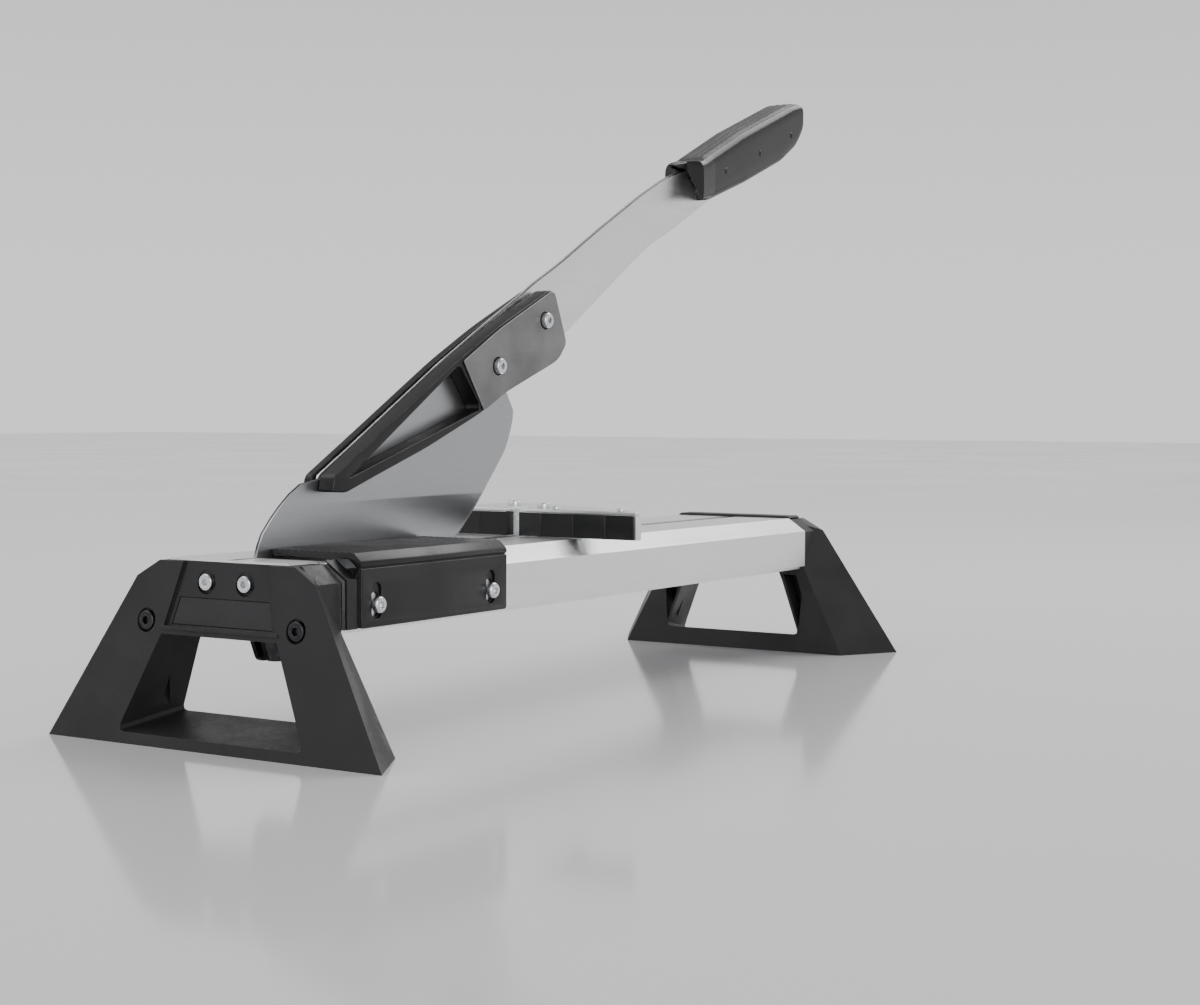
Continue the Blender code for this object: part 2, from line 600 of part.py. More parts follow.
def carrier():
    """The castings, the face plate and the bolts that clamp blade and arm between them."""
    bolts = [circle(place, 0.0042) for place in CARRIER_BOLTS]
    screws = [circle(place, 0.0027, 12) for place in BLADE_SCREWS]
    near = slab("near_casting", ALONG_Y, [carrier_outline(), window_outline()] + bolts, *NEAR_CASTING_Y,
                BLACK)
    for number, (x, z) in enumerate(BLADE_SCREWS):
        drill(near, f"blade_screw_blind_{number}", (x, -0.0110, z), (0, 1, 0), 0.0027, 0.02, 12)
    face = rounded([(0.2515, 0.2800, 0.002), (0.2806, 0.2402, 0.003), (0.3123, 0.2560),
                    (0.3895, 0.2840, 0.007),
                    (0.4025, 0.2990, 0.004), (0.3830, 0.3452, 0.007), (0.3027, 0.3085)])
    pockets = [circle(place, 0.0078, 20) for place in CARRIER_BOLTS]
    plate = slab("near_face_plate", ALONG_Y, [face] + pockets, *FACE_PLATE_Y, GREY)
    far = slab("far_casting", ALONG_Y, [carrier_outline()] + bolts + screws, *FAR_CASTING_Y, BLACK)
    made = [near, plate, far]
    for place, where in zip(CARRIER_BOLTS, ("lower", "upper")):
        x, z = place
        made.append(socket_screw(f"carrier_bolt_{where}", (x, NEAR_CASTING_Y[0] - FIT, z), (0, -1, 0),
                                 (0.0065, 0.0060), (0.0039, 0.0362), ZINC))
        made.append(turned(f"carrier_nut_{where}", [(0.0047, 0.0060), (0.0078, 0.0060), (0.0078, 0),
                                                    (0.0047, 0),
                    (0.0047, 0.0060)], (x, FAR_CASTING_Y[1] + FIT, z), (0, 1, 0), ZINC, 6))
    for place, where in zip(BLADE_SCREWS, ("front", "rear")):
        x, z = place
        made.append(socket_screw(f"blade_screw_{where}", (x, FAR_CASTING_Y[1] + FIT, z), (0, 1, 0),
                                 (0.0045, 0.0030), (0.0025, 0.0225), DARK_STEEL))
    return made


def handle_outline(inset=0.0):
    """Side outline of the handle; the inset shrinks it for the rounded outer layer."""
    return rounded([(0.6390 + inset, 0.4378 + inset, 0.003), (0.7322, 0.4685 + inset),
                    (0.8100, 0.4990 + inset),
                    (0.8470 - inset, 0.5262 + inset, 0.012), (0.8625 - inset, 0.5560 - inset, 0.010),
                    (0.8500 - inset, 0.5655 - inset, 0.008), (0.8309, 0.5600 - inset), (0.7251,
                                                                                        0.5200 - inset),
                    (0.6475, 0.4850 - inset), (0.6170, 0.4770 - inset), (0.6150, 0.4745)])


def handle():
    """Two scales on the arm, the ridged strip along their top and three rivets."""
    made = []
    spans = (("near", -HANDLE_HALF, ARM_Y[0] - FIT), ("far", ARM_Y[1] + FIT, HANDLE_HALF + 0.004))
    for where, low, high in spans:
        bores = [circle(place, 0.0036, 12) for place in RIVETS]
        scale = slab(f"handle_{where}", ALONG_Y, [handle_outline(0.0012)] + bores, low, high, BLACK)
        side = 1 if where == "far" else -1
        plan = ((0.6090, 0.0034), (0.6090, 0.0300), (0.6390, 0.0300), (0.6390, 0.0190))
        corners = [Vector((x, side * y, z)) for z in (0.4200, 0.5000) for x, y in plan]
        taper = loft(f"guard_taper_{where}", corners)
        combine(scale, taper)
        made.append(scale)
    crown = [(0.6490, 0.4859), (0.7251, 0.5201), (0.8309, 0.5601), (0.8450, 0.5642)]
    under = [(x, z - 0.0009) for x, z in crown]
    over = [(x, z + 0.0024) for x, z in crown[::-1]]
    made.append(slab("handle_top_grip", ALONG_Y, [under + over], -HANDLE_HALF + 0.001, HANDLE_HALF + 0.003,
                     GRIP))
    for number, (x, z) in enumerate(RIVETS):
        stem = [(0, -0.0008), (0.0033, -0.0008), (0.0033, -0.0090), (0.0025, -0.0090), (0.0025, -0.0300),
                (0, -0.0300)]
        made.append(turned(f"handle_rivet_{number + 1}", stem, (x, -HANDLE_HALF, z), (0, -1, 0), ZINC, 12))
    return made


# ---- fence -------------------------------------------------------------------------------

def fence():
    """The aluminium bars, their black ribbed faces, the top plate and its screws."""
    made = []
    for where, (low, high), ribs in (("near", FENCE_NEAR_Y, (-0.0908, -0.0590, -0.0265)),
                                     ("far", FENCE_FAR_Y, (0.0370,))):
        near = where == "near"
        bar_low, bar_high = (low, high - FENCE_WRAP) if near else (low + FENCE_WRAP, high)
        made.append(block(f"fence_bar_{where}", (FENCE_X, bar_low, TABLE_Z + 0.0005),
                          (FENCE_X + FENCE_BAR, bar_high, FENCE_TOP), ALUMINIUM))
        start = low + (0.002 if near else 0.0)
        wrap = [(FENCE_X + FENCE_BAR, bar_high + FIT), (FENCE_X + FENCE_BAR, high)]
        outline = [(FENCE_X - FIT, start), (FENCE_X - FIT, bar_high + FIT)] + wrap if near else [
            (FENCE_X - FIT, start), (FENCE_X + FENCE_BAR, start), (FENCE_X + FENCE_BAR, bar_low - FIT),
            (FENCE_X - FIT, bar_low - FIT), (FENCE_X - FIT, high)]
        outline.append((FENCE_X - 0.0020, high))
        for y in sorted(ribs, reverse=True):
            outline += [(FENCE_X - 0.0020, y + 0.0015), (FENCE_X - 0.0032, y + 0.0015),
                        (FENCE_X - 0.0032, y - 0.0015), (FENCE_X - 0.0020, y - 0.0015)]
        outline.append((FENCE_X - 0.0020, start))
        made.append(slab(f"fence_face_{where}", ALONG_Z, [outline], TABLE_Z + 0.0007, FENCE_TOP - 0.0002,
                         BLACK))
    slot = [(FENCE_X - 0.001, -0.0055), (0.3760, -0.0055), (0.3825, -0.0020), (0.3825, 0.0030),
            (0.3760, 0.0065),
            (FENCE_X - 0.001, 0.0065)]
    outline = [(FENCE_X, -0.1220), (FENCE_X + FENCE_BAR, -0.1220), (0.3960, -0.0650), (0.4290, 0.0200),
               (0.4430, 0.0600), (0.4400, 0.0700), (FENCE_X, 0.0700)]
    plate = slab("fence_plate", ALONG_Z, [outline, circle(FENCE_PIVOT.xy, 0.0034)], FENCE_TOP + FIT,
                 FENCE_TOP + FIT + PLATE_THICK, ALUMINIUM)
    combine(plate, slab("blade_gap", ALONG_Z, [slot], 0.14, 0.17))
    combine(plate, slab("lock_arc", ALONG_Z, [lock_arc()], 0.14, 0.17))
    made.append(plate)
    screw_x = FENCE_X + FENCE_BAR / 2
    for number, y in enumerate((-0.1050, -0.0400, 0.0500)):
        for target in (plate, made[0] if y < 0 else made[2]):
            drill(target, f"{target.name}_screw_hole_{number}", (screw_x, y, 0.1480), (0, 0, 1), 0.0022,
                  0.02, 12)
        made.append(socket_screw(f"fence_screw_{number + 1}",
                                 (screw_x, y, FENCE_TOP + 2 * FIT + PLATE_THICK), (0, 0, 1),
                                 (0.0038, 0.0022), (0.0019, 0.0088), ZINC))
    return made


def lock_arc():
    """The curved slot round the fence's pivot that the lock bolt stands in."""
    arm = (FENCE_LOCK - FENCE_PIVOT).xy
    middle = math.atan2(arm.y, arm.x)
    reach = math.radians(6)
    half = 0.0036
    points = []
    for radius, turn in ((arm.length + half, 1), (arm.length - half, -1)):
        for step in range(5):
            angle = middle + turn * reach * (step / 2 - 1) * (1.0 if 0 < step < 4 else 1.6)
            points.append((FENCE_PIVOT.x + radius * math.cos(angle),
                           FENCE_PIVOT.y + radius * math.sin(angle)))
    return points


def fence_bolts():
    """The bolts that hold the fence to the rails, each through a spacer."""
    made = []
    for place, where in ((FENCE_PIVOT, "pivot"), (FENCE_LOCK, "lock")):
        made.append(turned(f"fence_{where}_spacer", [(0.0034, FENCE_TOP), (0.0050, FENCE_TOP),
                                                     (0.0050, TABLE_Z + FIT),
                    (0.0034, TABLE_Z + FIT), (0.0034, FENCE_TOP)], (place.x, place.y, 0), (0, 0, 1), ZINC))
        made.append(socket_screw(f"fence_{where}_bolt", (place.x, place.y,
                                                         FENCE_TOP + 2 * FIT + PLATE_THICK), (0, 0, 1),
                                 (0.0060, 0.0036), (0.0030, 0.0330), ZINC))
    return made


def main():
    """Builds every sub-part and hangs the moving ones on their axes."""
    feet()
    head_plate()
    rails()
    counter_blade()
    rail_collar()
    pivot_brackets()
    support_screws()
    fence_bolts()
    hang_on(axis_empty("support_guide", (0.12775, -0.0856, SUPPORT_SCREW_Z)), [near_support()])
    hang_on(axis_empty("lever_axis", PIVOT), blade() + [lever_arm()] + carrier() + handle())
    hang_on(axis_empty("fence_axis", FENCE_PIVOT), fence())
    bpy.context.view_layer.update()


main()
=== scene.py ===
"""Looks of a lever cutter for floor tiles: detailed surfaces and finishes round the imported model.

Everything is in metres. X runs along the table to the rear foot, the near side is -Y, and Z is up.
The new pieces are surfaces worked out as whole arrays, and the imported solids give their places.
"""
import logging
import math
from dataclasses import dataclass, field
from enum import Enum
from typing import Optional, Sequence

import bmesh
import bpy
import numpy as np
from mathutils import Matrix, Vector
from mathutils.geometry import tessellate_polygon


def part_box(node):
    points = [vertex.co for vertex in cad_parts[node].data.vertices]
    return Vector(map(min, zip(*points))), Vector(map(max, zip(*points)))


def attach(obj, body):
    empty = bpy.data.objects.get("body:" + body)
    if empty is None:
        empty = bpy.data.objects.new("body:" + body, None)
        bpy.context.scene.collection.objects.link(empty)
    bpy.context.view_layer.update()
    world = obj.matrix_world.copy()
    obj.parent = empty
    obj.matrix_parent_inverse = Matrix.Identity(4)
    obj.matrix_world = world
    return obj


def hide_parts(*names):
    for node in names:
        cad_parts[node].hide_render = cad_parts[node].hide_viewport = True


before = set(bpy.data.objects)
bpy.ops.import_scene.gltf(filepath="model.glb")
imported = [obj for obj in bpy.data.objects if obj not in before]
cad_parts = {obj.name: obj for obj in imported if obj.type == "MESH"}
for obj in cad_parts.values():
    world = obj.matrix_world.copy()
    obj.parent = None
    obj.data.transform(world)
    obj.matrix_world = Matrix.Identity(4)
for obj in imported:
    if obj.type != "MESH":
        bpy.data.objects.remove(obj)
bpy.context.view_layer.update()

log = logging.getLogger("lever_cutter")

Array = np.ndarray
Point = tuple[float, ...]
Colour = tuple[float, float, float]
WELD = 1e-6
SHARP = math.radians(38)


class Across(Enum):
    """The axis of a flat piece's thickness, with the order that turns (u, v, w) into X, Y, Z."""

    X = (2, 0, 1)
    Y = (0, 2, 1)
    Z = (0, 1, 2)


class End(Enum):
    """The cutter's two ends, with the way that each foot faces along X."""

    FRONT = -1
    REAR = 1


class Side(Enum):
    """The cutter's two sides, with their sign along Y."""

    NEAR = -1
    FAR = 1


# ---- surfaces ----------------------------------------------------------------------------

def grid_quads(rows: int, columns: int, start: int = 0) -> Array:
    """The faces of a grid whose columns close into a ring.

    Args:
        rows: Number of rings.
        columns: Number of points in each ring.
        start: Number of the grid's first point.

    Returns:
        An (n, 4) array of point numbers.
    """
    row, column = np.meshgrid(np.arange(rows - 1), np.arange(columns), indexing="ij")
    beside = (column + 1) % columns
    corners = [row * columns + column, row * columns + beside,
               (row + 1) * columns + beside, (row + 1) * columns + column]
    return np.stack(corners, axis=-1).reshape(-1, 4) + start


def solid(name: str, points: Array, faces: list, marks: Optional[Array] = None) -> bpy.types.Object:
    """Puts computed points and faces into a closed mesh object at the origin.

    Args:
        name: The piece's name.
        points: (n, 3) places in metres.
        faces: Lists of point numbers.
        marks: One number a point, kept as the attribute that edge wear and the painted shade on the blade's and the
            arm's upper arrises read.

    Returns:
        The object, with seams and poles welded and its faces outwards.
    """
    mesh = bpy.data.meshes.new(name)
    mesh.from_pydata(points.tolist(), [], faces)
    edge_colour = mesh.attributes.new("edge", "FLOAT", "POINT")
    edge_colour.data.foreach_set("value", np.zeros(len(points)) if marks is None else marks)
    shape = bmesh.new()
    shape.from_mesh(mesh)
    bmesh.ops.remove_doubles(shape, verts=shape.verts, dist=WELD)
    bmesh.ops.recalc_face_normals(shape, faces=shape.faces)
    shape.to_mesh(mesh)
    shape.free()
    mesh.shade_smooth()
    mesh.set_sharp_from_angle(angle=SHARP)
    piece = bpy.data.objects.new(name, mesh)
    bpy.context.scene.collection.objects.link(piece)
    return piece


def rounded_loop(corners: Sequence[Point], reach: float | Sequence[float], steps: int = 7) -> Array:
    """A closed outline whose corners become parabolic arcs.

    Each arc is (1-t)^2 A + 2t(1-t) C + t^2 B, where C is the corner and A and B lie on its two sides.

    Args:
        corners: The outline's corners.
        reach: How far along each side an arc starts, for all corners or for each.
        steps: Points in each arc.

    Returns:
        An (n, 2) array.
    """
    corner = np.asarray(corners, dtype=float)
    back = np.roll(corner, 1, axis=0) - corner
    ahead = np.roll(corner, -1, axis=0) - corner
    long_back = np.linalg.norm(back, axis=1)
    long_ahead = np.linalg.norm(ahead, axis=1)
    wide = np.minimum(np.broadcast_to(reach, len(corner)), 0.45 * np.minimum(long_back, long_ahead))
    first = corner + back * (wide / long_back)[:, None]
    last = corner + ahead * (wide / long_ahead)[:, None]
    t = np.linspace(0, 1, steps)[None, :, None]
    arcs = (1 - t) ** 2 * first[:, None] + 2 * t * (1 - t) * corner[:, None] + t ** 2 * last[:, None]
    return arcs.reshape(-1, 2)


def ring(centre: Point, radius: float, steps: int = 40) -> Array:
    """Points round a circle, as an (n, 2) array."""
    turn = np.linspace(0, 2 * np.pi, steps, endpoint=False)
    return np.stack([centre[0] + radius * np.cos(turn), centre[1] + radius * np.sin(turn)], axis=1)


def stadium(centre: Point, half_length: float, radius: float, steps: int = 24) -> Array:
    """A slot's outline: a circle whose upper and lower halves are drawn apart along the second axis."""
    turn = np.linspace(0, 2 * np.pi, 2 * steps, endpoint=False) + np.pi / (2 * steps)
    rise = np.where(np.sin(turn) > 0, half_length, -half_length)
    return np.stack([centre[0] + radius * np.cos(turn), centre[1] + rise + radius * np.sin(turn)], axis=1)


def wound(loop: Array, anticlockwise: bool) -> Array:
    """The outline in the wanted direction, told by the sign of its shoelace area."""
    after = np.roll(loop, -1, axis=0)
    area = np.sum(loop[:, 0] * after[:, 1] - after[:, 0] * loop[:, 1])
    return loop if (area > 0) == anticlockwise else loop[::-1]


def outward(loop: Array) -> Array:
    """Mitred normals of an anticlockwise outline: two edge normals' sum over one plus their product."""
    along = np.roll(loop, -1, axis=0) - loop
    along = along / np.maximum(np.linalg.norm(along, axis=1), WELD)[:, None]
    normal = np.stack([along[:, 1], -along[:, 0]], axis=1)
    before = np.roll(normal, 1, axis=0)
    spread = np.maximum(1 + np.sum(normal * before, axis=1), 0.5)
    return (normal + before) / spread[:, None]


def rounded_rim(low: float, high: float, edge: float, steps: int = 4) -> list[tuple[float, float, float]]:
    """Rings of a flat piece's rim: two quarter circles, as (inset, height, edge mark), where the edge mark feeds
    edge wear and, on the arm, painted shade.
    """
    turn = np.linspace(0, np.pi / 2, steps + 1)
    inset = edge * (1 - np.sin(turn))
    lift = edge * (1 - np.cos(turn))
    edge_mark = np.sin(2 * turn)
    lower = list(zip(inset, low + lift, edge_mark))
    upper = list(zip(inset[::-1], high - lift[::-1], edge_mark[::-1]))
    return lower + upper


def flat_piece(name: str, across: Across, loops: Sequence[Array], rim: Sequence[tuple]) -> bpy.types.Object:
    """A flat closed piece with holes, whose every edge follows one rim.

    A ring of the rim is each outline moved in along its normals by the ring's inset, at the ring's
    height. The first and last rings are closed by triangles.

    Args:
        name: The piece's name.
        across: The axis of its thickness.
        loops: The outer outline, and then the holes.
        rim: (inset, height, edge mark) of each ring, where the inset may differ from point to point of the
            outer outline.

    Returns:
        The object.
    """
    turned_loops = [wound(loop, number == 0) for number, loop in enumerate(loops)]
    normals = [outward(loop) for loop in turned_loops]
    points, marks, faces, starts = [], [], [], []
    count = 0
    for number, (loop, normal) in enumerate(zip(turned_loops, normals)):
        starts.append(count)
        for inset, height, edge_mark in rim:
            own = inset if number == 0 or np.isscalar(inset) else np.min(inset)
            depth = np.broadcast_to(own, len(loop))
            flat = loop - normal * depth[:, None]
            points.append(np.column_stack([flat, np.full(len(loop), height)]))
            marks.append(np.full(len(loop), edge_mark))
        faces += grid_quads(len(rim), len(loop), count).tolist()
        count += len(rim) * len(loop)
    flat_points = np.concatenate(points)
    for level in (0, len(rim) - 1):
        numbers = [np.arange(len(loop)) + start + level * len(loop)
                   for loop, start in zip(turned_loops, starts)]
        outlines = [[Vector((*flat_points[i, :2], 0)) for i in loop_numbers] for loop_numbers in numbers]
        triangles = np.asarray(tessellate_polygon(outlines))
        faces += np.concatenate(numbers)[triangles].tolist()
    places = flat_points[:, list(across.value)]
    return solid(name, places, faces, np.concatenate(marks))


def basis(direction: Point) -> tuple[Array, Array, Array]:
    """Two unit vectors at right angles to a direction, and the direction itself made a unit."""
    forward = np.asarray(direction, dtype=float)
    forward = forward / np.linalg.norm(forward)
    helper = np.array([0.0, 0.0, 1.0]) if abs(forward[2]) < 0.9 else np.array([1.0, 0.0, 0.0])
    first = np.cross(helper, forward)
    first = first / np.linalg.norm(first)
    return first, np.cross(forward, first), forward


def turned_piece(name: str, profile: Sequence[Point], place: Point, direction: Point,
                 steps: int = 48, twist: float = 0.3) -> bpy.types.Object:
    """A turned piece, parts of which may be six-sided.

    Each row of the profile is (radius, height, sides, wear). A round row keeps its radius, and a
    six-sided one is cut to a hexagon: the radius times cos 30 over the cosine of the angle from the
    nearest flat's middle.

    Args:
        name: The piece's name.
        profile: The rows, from the tip down the outer side.
        place: Where height 0 lies on the axis.
        direction: Which way height grows.
        steps: Points round the axis, a multiple of six.
        twist: Turn of the hexagon about the axis.

    Returns:
        The object.
    """
    rows = np.asarray(profile, dtype=float)
    turn = np.linspace(0, 2 * np.pi, steps, endpoint=False)
    from_flat = (turn % (np.pi / 3)) - np.pi / 6
    hexagon = math.cos(np.pi / 6) / np.cos(from_flat)
    radius = rows[:, :1] * np.where(rows[:, 2:3] > 0, hexagon[None], 1.0)
    side, up, forward = basis(direction)
    spin = turn + twist
    around = np.cos(spin)[:, None] * side + np.sin(spin)[:, None] * up
    points = (np.asarray(place) + radius[:, :, None] * around[None] + rows[:, 1][:, None, None] * forward)
    edge_mark = np.repeat(rows[:, 3], steps)
    return solid(name, points.reshape(-1, 3), grid_quads(len(rows), steps).tolist(), edge_mark)


def swept_piece(name: str, sections: Array, middle: Array, across: Array, up: Array,
                edge_mark: Optional[Array] = None) -> bpy.types.Object:
    """A piece whose section is carried along a path, and may change on the way.

    A point is the path's place, plus the section's first number along one vector and its second
    along the other.

    Args:
        name: The piece's name.
        sections: (stations, points, 2) section outlines.
        middle: (stations, 3) places on the path.
        across: (3,) the direction of the section's first number.
        up: (stations, 3) the direction of its second.
        edge_mark: (stations, points) edge wear, or None.

    Returns:
        The object, with a fan of faces over each end.
    """
    stations, count = sections.shape[:2]
    points = middle[:, None] + sections[:, :, :1] * across + sections[:, :, 1:] * up[:, None]
    faces = grid_quads(stations, count).tolist()
    faces += [list(range(count)), list(range((stations - 1) * count, stations * count))]
    return solid(name, points.reshape(-1, 3), faces, None if edge_mark is None else edge_mark.ravel())


def keep_upper_edges(piece: bpy.types.Object) -> None:
    """Fades the edge attribute by the height of each vertex normal, so that only upper arrises keep it: there the
    blade and the arm take their painted shade.
    """
    mesh = piece.data
    normals = np.empty(3 * len(mesh.vertices))
    mesh.vertices.foreach_get("normal", normals)
    edge = mesh.attributes["edge"].data
    values = np.empty(len(edge))
    edge.foreach_get("value", values)
    edge.foreach_set("value", values * np.clip((normals[2::3] - 0.05) / 0.20, 0, 1))


def softened_copy(node: str, name: str, width: float, segments: int = 3) -> bpy.types.Object:
    """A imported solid's copy with its arrises rounded over, for mouldings that are cut from blocks.

    Args:
        node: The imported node.
        name: The new piece's name.
        width: How far the rounding reaches from each arris.
        segments: Faces across the rounding.

    Returns:
        The object.
    """
    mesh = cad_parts[node].data.copy()
    mesh.name = name
    shape = bmesh.new()
    shape.from_mesh(mesh)
    bmesh.ops.remove_doubles(shape, verts=shape.verts, dist=2e-5)
    bmesh.ops.dissolve_limit(shape, angle_limit=math.radians(1.0), verts=shape.verts, edges=shape.edges)
    shape.to_mesh(mesh)
    shape.free()
    mesh.shade_smooth()
    piece = bpy.data.objects.new(name, mesh)
    bpy.context.scene.collection.objects.link(piece)
    rounding = piece.modifiers.new("rounding", "BEVEL")
    rounding.width = width
    rounding.segments = segments
    rounding.limit_method = "ANGLE"
    rounding.angle_limit = math.radians(28)
    rounding.harden_normals = True
    rounding.use_clamp_overlap = True
    flatten = piece.modifiers.new("flat_faces", "WEIGHTED_NORMAL")
    flatten.keep_sharp = True
    flatten.weight = 100
    return piece


# ---- finishes ----------------------------------------------------------------------------

class Desk:
    """A short way to lay out the nodes of one material or group."""

    def __init__(self, tree: bpy.types.NodeTree) -> None:
        """Takes the tree to work on."""
        self.tree = tree

    def add(self, kind: str, sockets: Optional[dict] = None, **settings: object) -> bpy.types.Node:
        """Adds a node.

        Args:
            kind: The node's type name.
            sockets: Input values by name or number; an output socket there is joined instead.
            settings: The node's own properties.

        Returns:
            The node.
        """
        node = self.tree.nodes.new(kind)
        for key, value in settings.items():
            setattr(node, key, value)
        for key, value in (sockets or {}).items():
            if isinstance(value, bpy.types.NodeSocket):
                self.tree.links.new(value, node.inputs[key])
            else:
                node.inputs[key].default_value = value
        return node

    def maths(self, operation: str, *values: object) -> bpy.types.NodeSocket:
        """A Math node's result for the given numbers or sockets."""
        return self.add("ShaderNodeMath", dict(enumerate(values)), operation=operation).outputs[0]

    def remap(self, value: bpy.types.NodeSocket, low: float, high: float,
              to_low: float, to_high: float) -> bpy.types.NodeSocket:
        """A value moved from one range to another, smoothly at both ends."""
        sockets = {"Value": value, "From Min": low, "From Max": high, "To Min": to_low, "To Max": to_high}
        return self.add("ShaderNodeMapRange", sockets, interpolation_type="SMOOTHSTEP").outputs["Result"]

    def blend(self, factor: object, first: object, second: object) -> bpy.types.NodeSocket:
        """Two colours mixed by a factor."""
        node = self.add("ShaderNodeMix", {"Factor": factor}, data_type="RGBA")
        for socket, value in ((node.inputs[6], first), (node.inputs[7], second)):
            if isinstance(value, bpy.types.NodeSocket):
                self.tree.links.new(value, socket)
            else:
                socket.default_value = (*value, 1)
        return node.outputs[2]


def new_group(name: str, inputs: Sequence[tuple],
              outputs: Sequence[str]) -> tuple[bpy.types.NodeTree, Desk, dict, dict]:
    """Starts a shader node group.

    Args:
        name: The group's name.
        inputs: (name, socket type, default) of each input.
        outputs: Names of the outputs, which are all numbers.

    Returns:
        The group, its desk, the input sockets and the output sockets by name.
    """
    group = bpy.data.node_groups.new(name, "ShaderNodeTree")
    for label, kind, default in inputs:
        socket = group.interface.new_socket(label, in_out="INPUT", socket_type=kind)
        if default is not None:
            socket.default_value = default
    for label in outputs:
        group.interface.new_socket(label, in_out="OUTPUT", socket_type="NodeSocketFloat")
    desk = Desk(group)
    start = desk.add("NodeGroupInput")
    finish = desk.add("NodeGroupOutput")
    return group, desk, start.outputs, finish.inputs


VECTOR, NUMBER = "NodeSocketVector", "NodeSocketFloat"


def grain_group() -> bpy.types.NodeTree:
    """Moulded or cast grain: small cells broken up by noise, with a slow mottling."""
    group, desk, given, out = new_group("moulded_grain", [("Vector", VECTOR, None),
                                        ("Scale", NUMBER, 900.0)], ["Height", "Mottle"])
    cells = desk.add("ShaderNodeTexVoronoi", {"Vector": given["Vector"], "Scale": given["Scale"]},
                     feature="SMOOTH_F1").outputs["Distance"]
    fine = desk.add("ShaderNodeTexNoise", {"Vector": given["Vector"], "Detail": 3.0,
                    "Scale": desk.maths("MULTIPLY", given["Scale"], 0.6)}).outputs["Fac"]
    slow = desk.add("ShaderNodeTexNoise", {"Vector": given["Vector"], "Detail": 4.0,
                    "Scale": desk.maths("MULTIPLY", given["Scale"], 0.02)}).outputs["Fac"]
    height = desk.maths("ADD", desk.maths("MULTIPLY", cells, 0.7), desk.maths("MULTIPLY", fine, 0.6))
    desk.tree.links.new(height, out["Height"])
    desk.tree.links.new(desk.remap(slow, 0.3, 0.7, 0.0, 1.0), out["Mottle"])
    return group


def streak_group() -> bpy.types.NodeTree:
    """Grinding or extrusion lines: noise drawn out along one axis, with broader bands and rare scratches."""
    group, desk, given, out = new_group("drawn_lines", [("Vector", VECTOR, None),
                                        ("Stretch", VECTOR, (1, 1, 1))], ["Lines", "Bands", "Scratches"])
    drawn = desk.add("ShaderNodeVectorMath", {0: given["Vector"], 1: given["Stretch"]},
                     operation="MULTIPLY").outputs[0]
    lines = desk.add("ShaderNodeTexNoise", {"Vector": drawn, "Scale": 1.0, "Detail": 5.0,
                     "Roughness": 0.7}).outputs["Fac"]
    bands = desk.add("ShaderNodeTexNoise", {"Vector": drawn, "Scale": 0.07, "Detail": 2.0}).outputs["Fac"]
    marks = desk.add("ShaderNodeTexNoise", {"Vector": drawn, "Scale": 0.45, "Detail": 1.0}).outputs["Fac"]
    desk.tree.links.new(lines, out["Lines"])
    desk.tree.links.new(desk.remap(bands, 0.35, 0.65, 0.0, 1.0), out["Bands"])
    desk.tree.links.new(desk.remap(marks, 0.70, 0.74, 0.0, 1.0), out["Scratches"])
    return group


def edge_wear_and_shade_group() -> bpy.types.NodeTree:
    """Edge wear and painted shade: the edge attribute broken up by noise, unless it is asked to be even along an
    arris, as the blade and the arm ask for their painted shade.
    """
    group, desk, given, out = new_group("edge_wear_and_shade", [("Vector", VECTOR, None), ("Amount", NUMBER, 0.5),
                                        ("Evenness", NUMBER, 0.0)], ["Mask"])
    edge = desk.add("ShaderNodeAttribute", attribute_name="edge").outputs["Fac"]
    patchy = desk.add("ShaderNodeTexNoise", {"Vector": given["Vector"], "Scale": 90.0, "Detail": 6.0,
                      "Roughness": 0.65}).outputs["Fac"]
    patchy = desk.maths("MAXIMUM", patchy, given["Evenness"])
    mask = desk.remap(desk.maths("MULTIPLY", edge, patchy), 0.25, 0.6, 0.0, 1.0)
    desk.tree.links.new(desk.maths("MULTIPLY", mask, given["Amount"]), out["Mask"])
    return group


def smudge_group() -> bpy.types.NodeTree:
    """Handling marks: soft cloudy patches with finer speckle inside them."""
    group, desk, given, out = new_group("handling", [("Vector", VECTOR, None), ("Scale", NUMBER, 14.0)],
                                        ["Mask"])
    cloud = desk.add("ShaderNodeTexNoise", {"Vector": given["Vector"], "Scale": given["Scale"],
                     "Detail": 6.0, "Distortion": 0.6}).outputs["Fac"]
    speck = desk.add("ShaderNodeTexNoise", {"Vector": given["Vector"], "Detail": 2.0,
                     "Scale": desk.maths("MULTIPLY", given["Scale"], 22.0)}).outputs["Fac"]
    both = desk.maths("ADD", desk.maths("MULTIPLY", cloud, 0.75), desk.maths("MULTIPLY", speck, 0.25))
    desk.tree.links.new(desk.remap(both, 0.36, 0.64, 0.0, 1.0), out["Mask"])
    return group


class Effects:
    """The node groups that the finishes share, each built once."""

    def __init__(self) -> None:
        """Builds the groups."""
        self.grain = grain_group()
        self.streaks = streak_group()
        self.edge_mark = edge_wear_and_shade_group()
        self.smudge = smudge_group()


EFFECTS = Effects()


def start_material(name: str) -> tuple[bpy.types.Material, Desk, bpy.types.Node, bpy.types.NodeSocket]:
    """Starts a material.

    Args:
        name: Its name.

    Returns:
        The material, its desk, its Principled shader and the object's own coordinates.
    """
    made = bpy.data.materials.new(name)
    made.use_nodes = True
    desk = Desk(made.node_tree)
    shader = made.node_tree.nodes["Principled BSDF"]
    return made, desk, shader, desk.add("ShaderNodeTexCoord").outputs["Object"]


def use(desk: Desk, group: bpy.types.NodeTree, place: bpy.types.NodeSocket,
        **values: object) -> bpy.types.NodeOutputs:
    """Puts a shared effect into a material.

    Args:
        desk: The material's desk.
        group: The effect.
        place: The coordinates that it reads.
        values: The effect's other inputs.

    Returns:
        The effect's output sockets by name.
    """
    node = desk.add("ShaderNodeGroup", node_tree=group)
    desk.tree.links.new(place, node.inputs["Vector"])
    for label, value in values.items():
        node.inputs[label].default_value = value
    return node.outputs


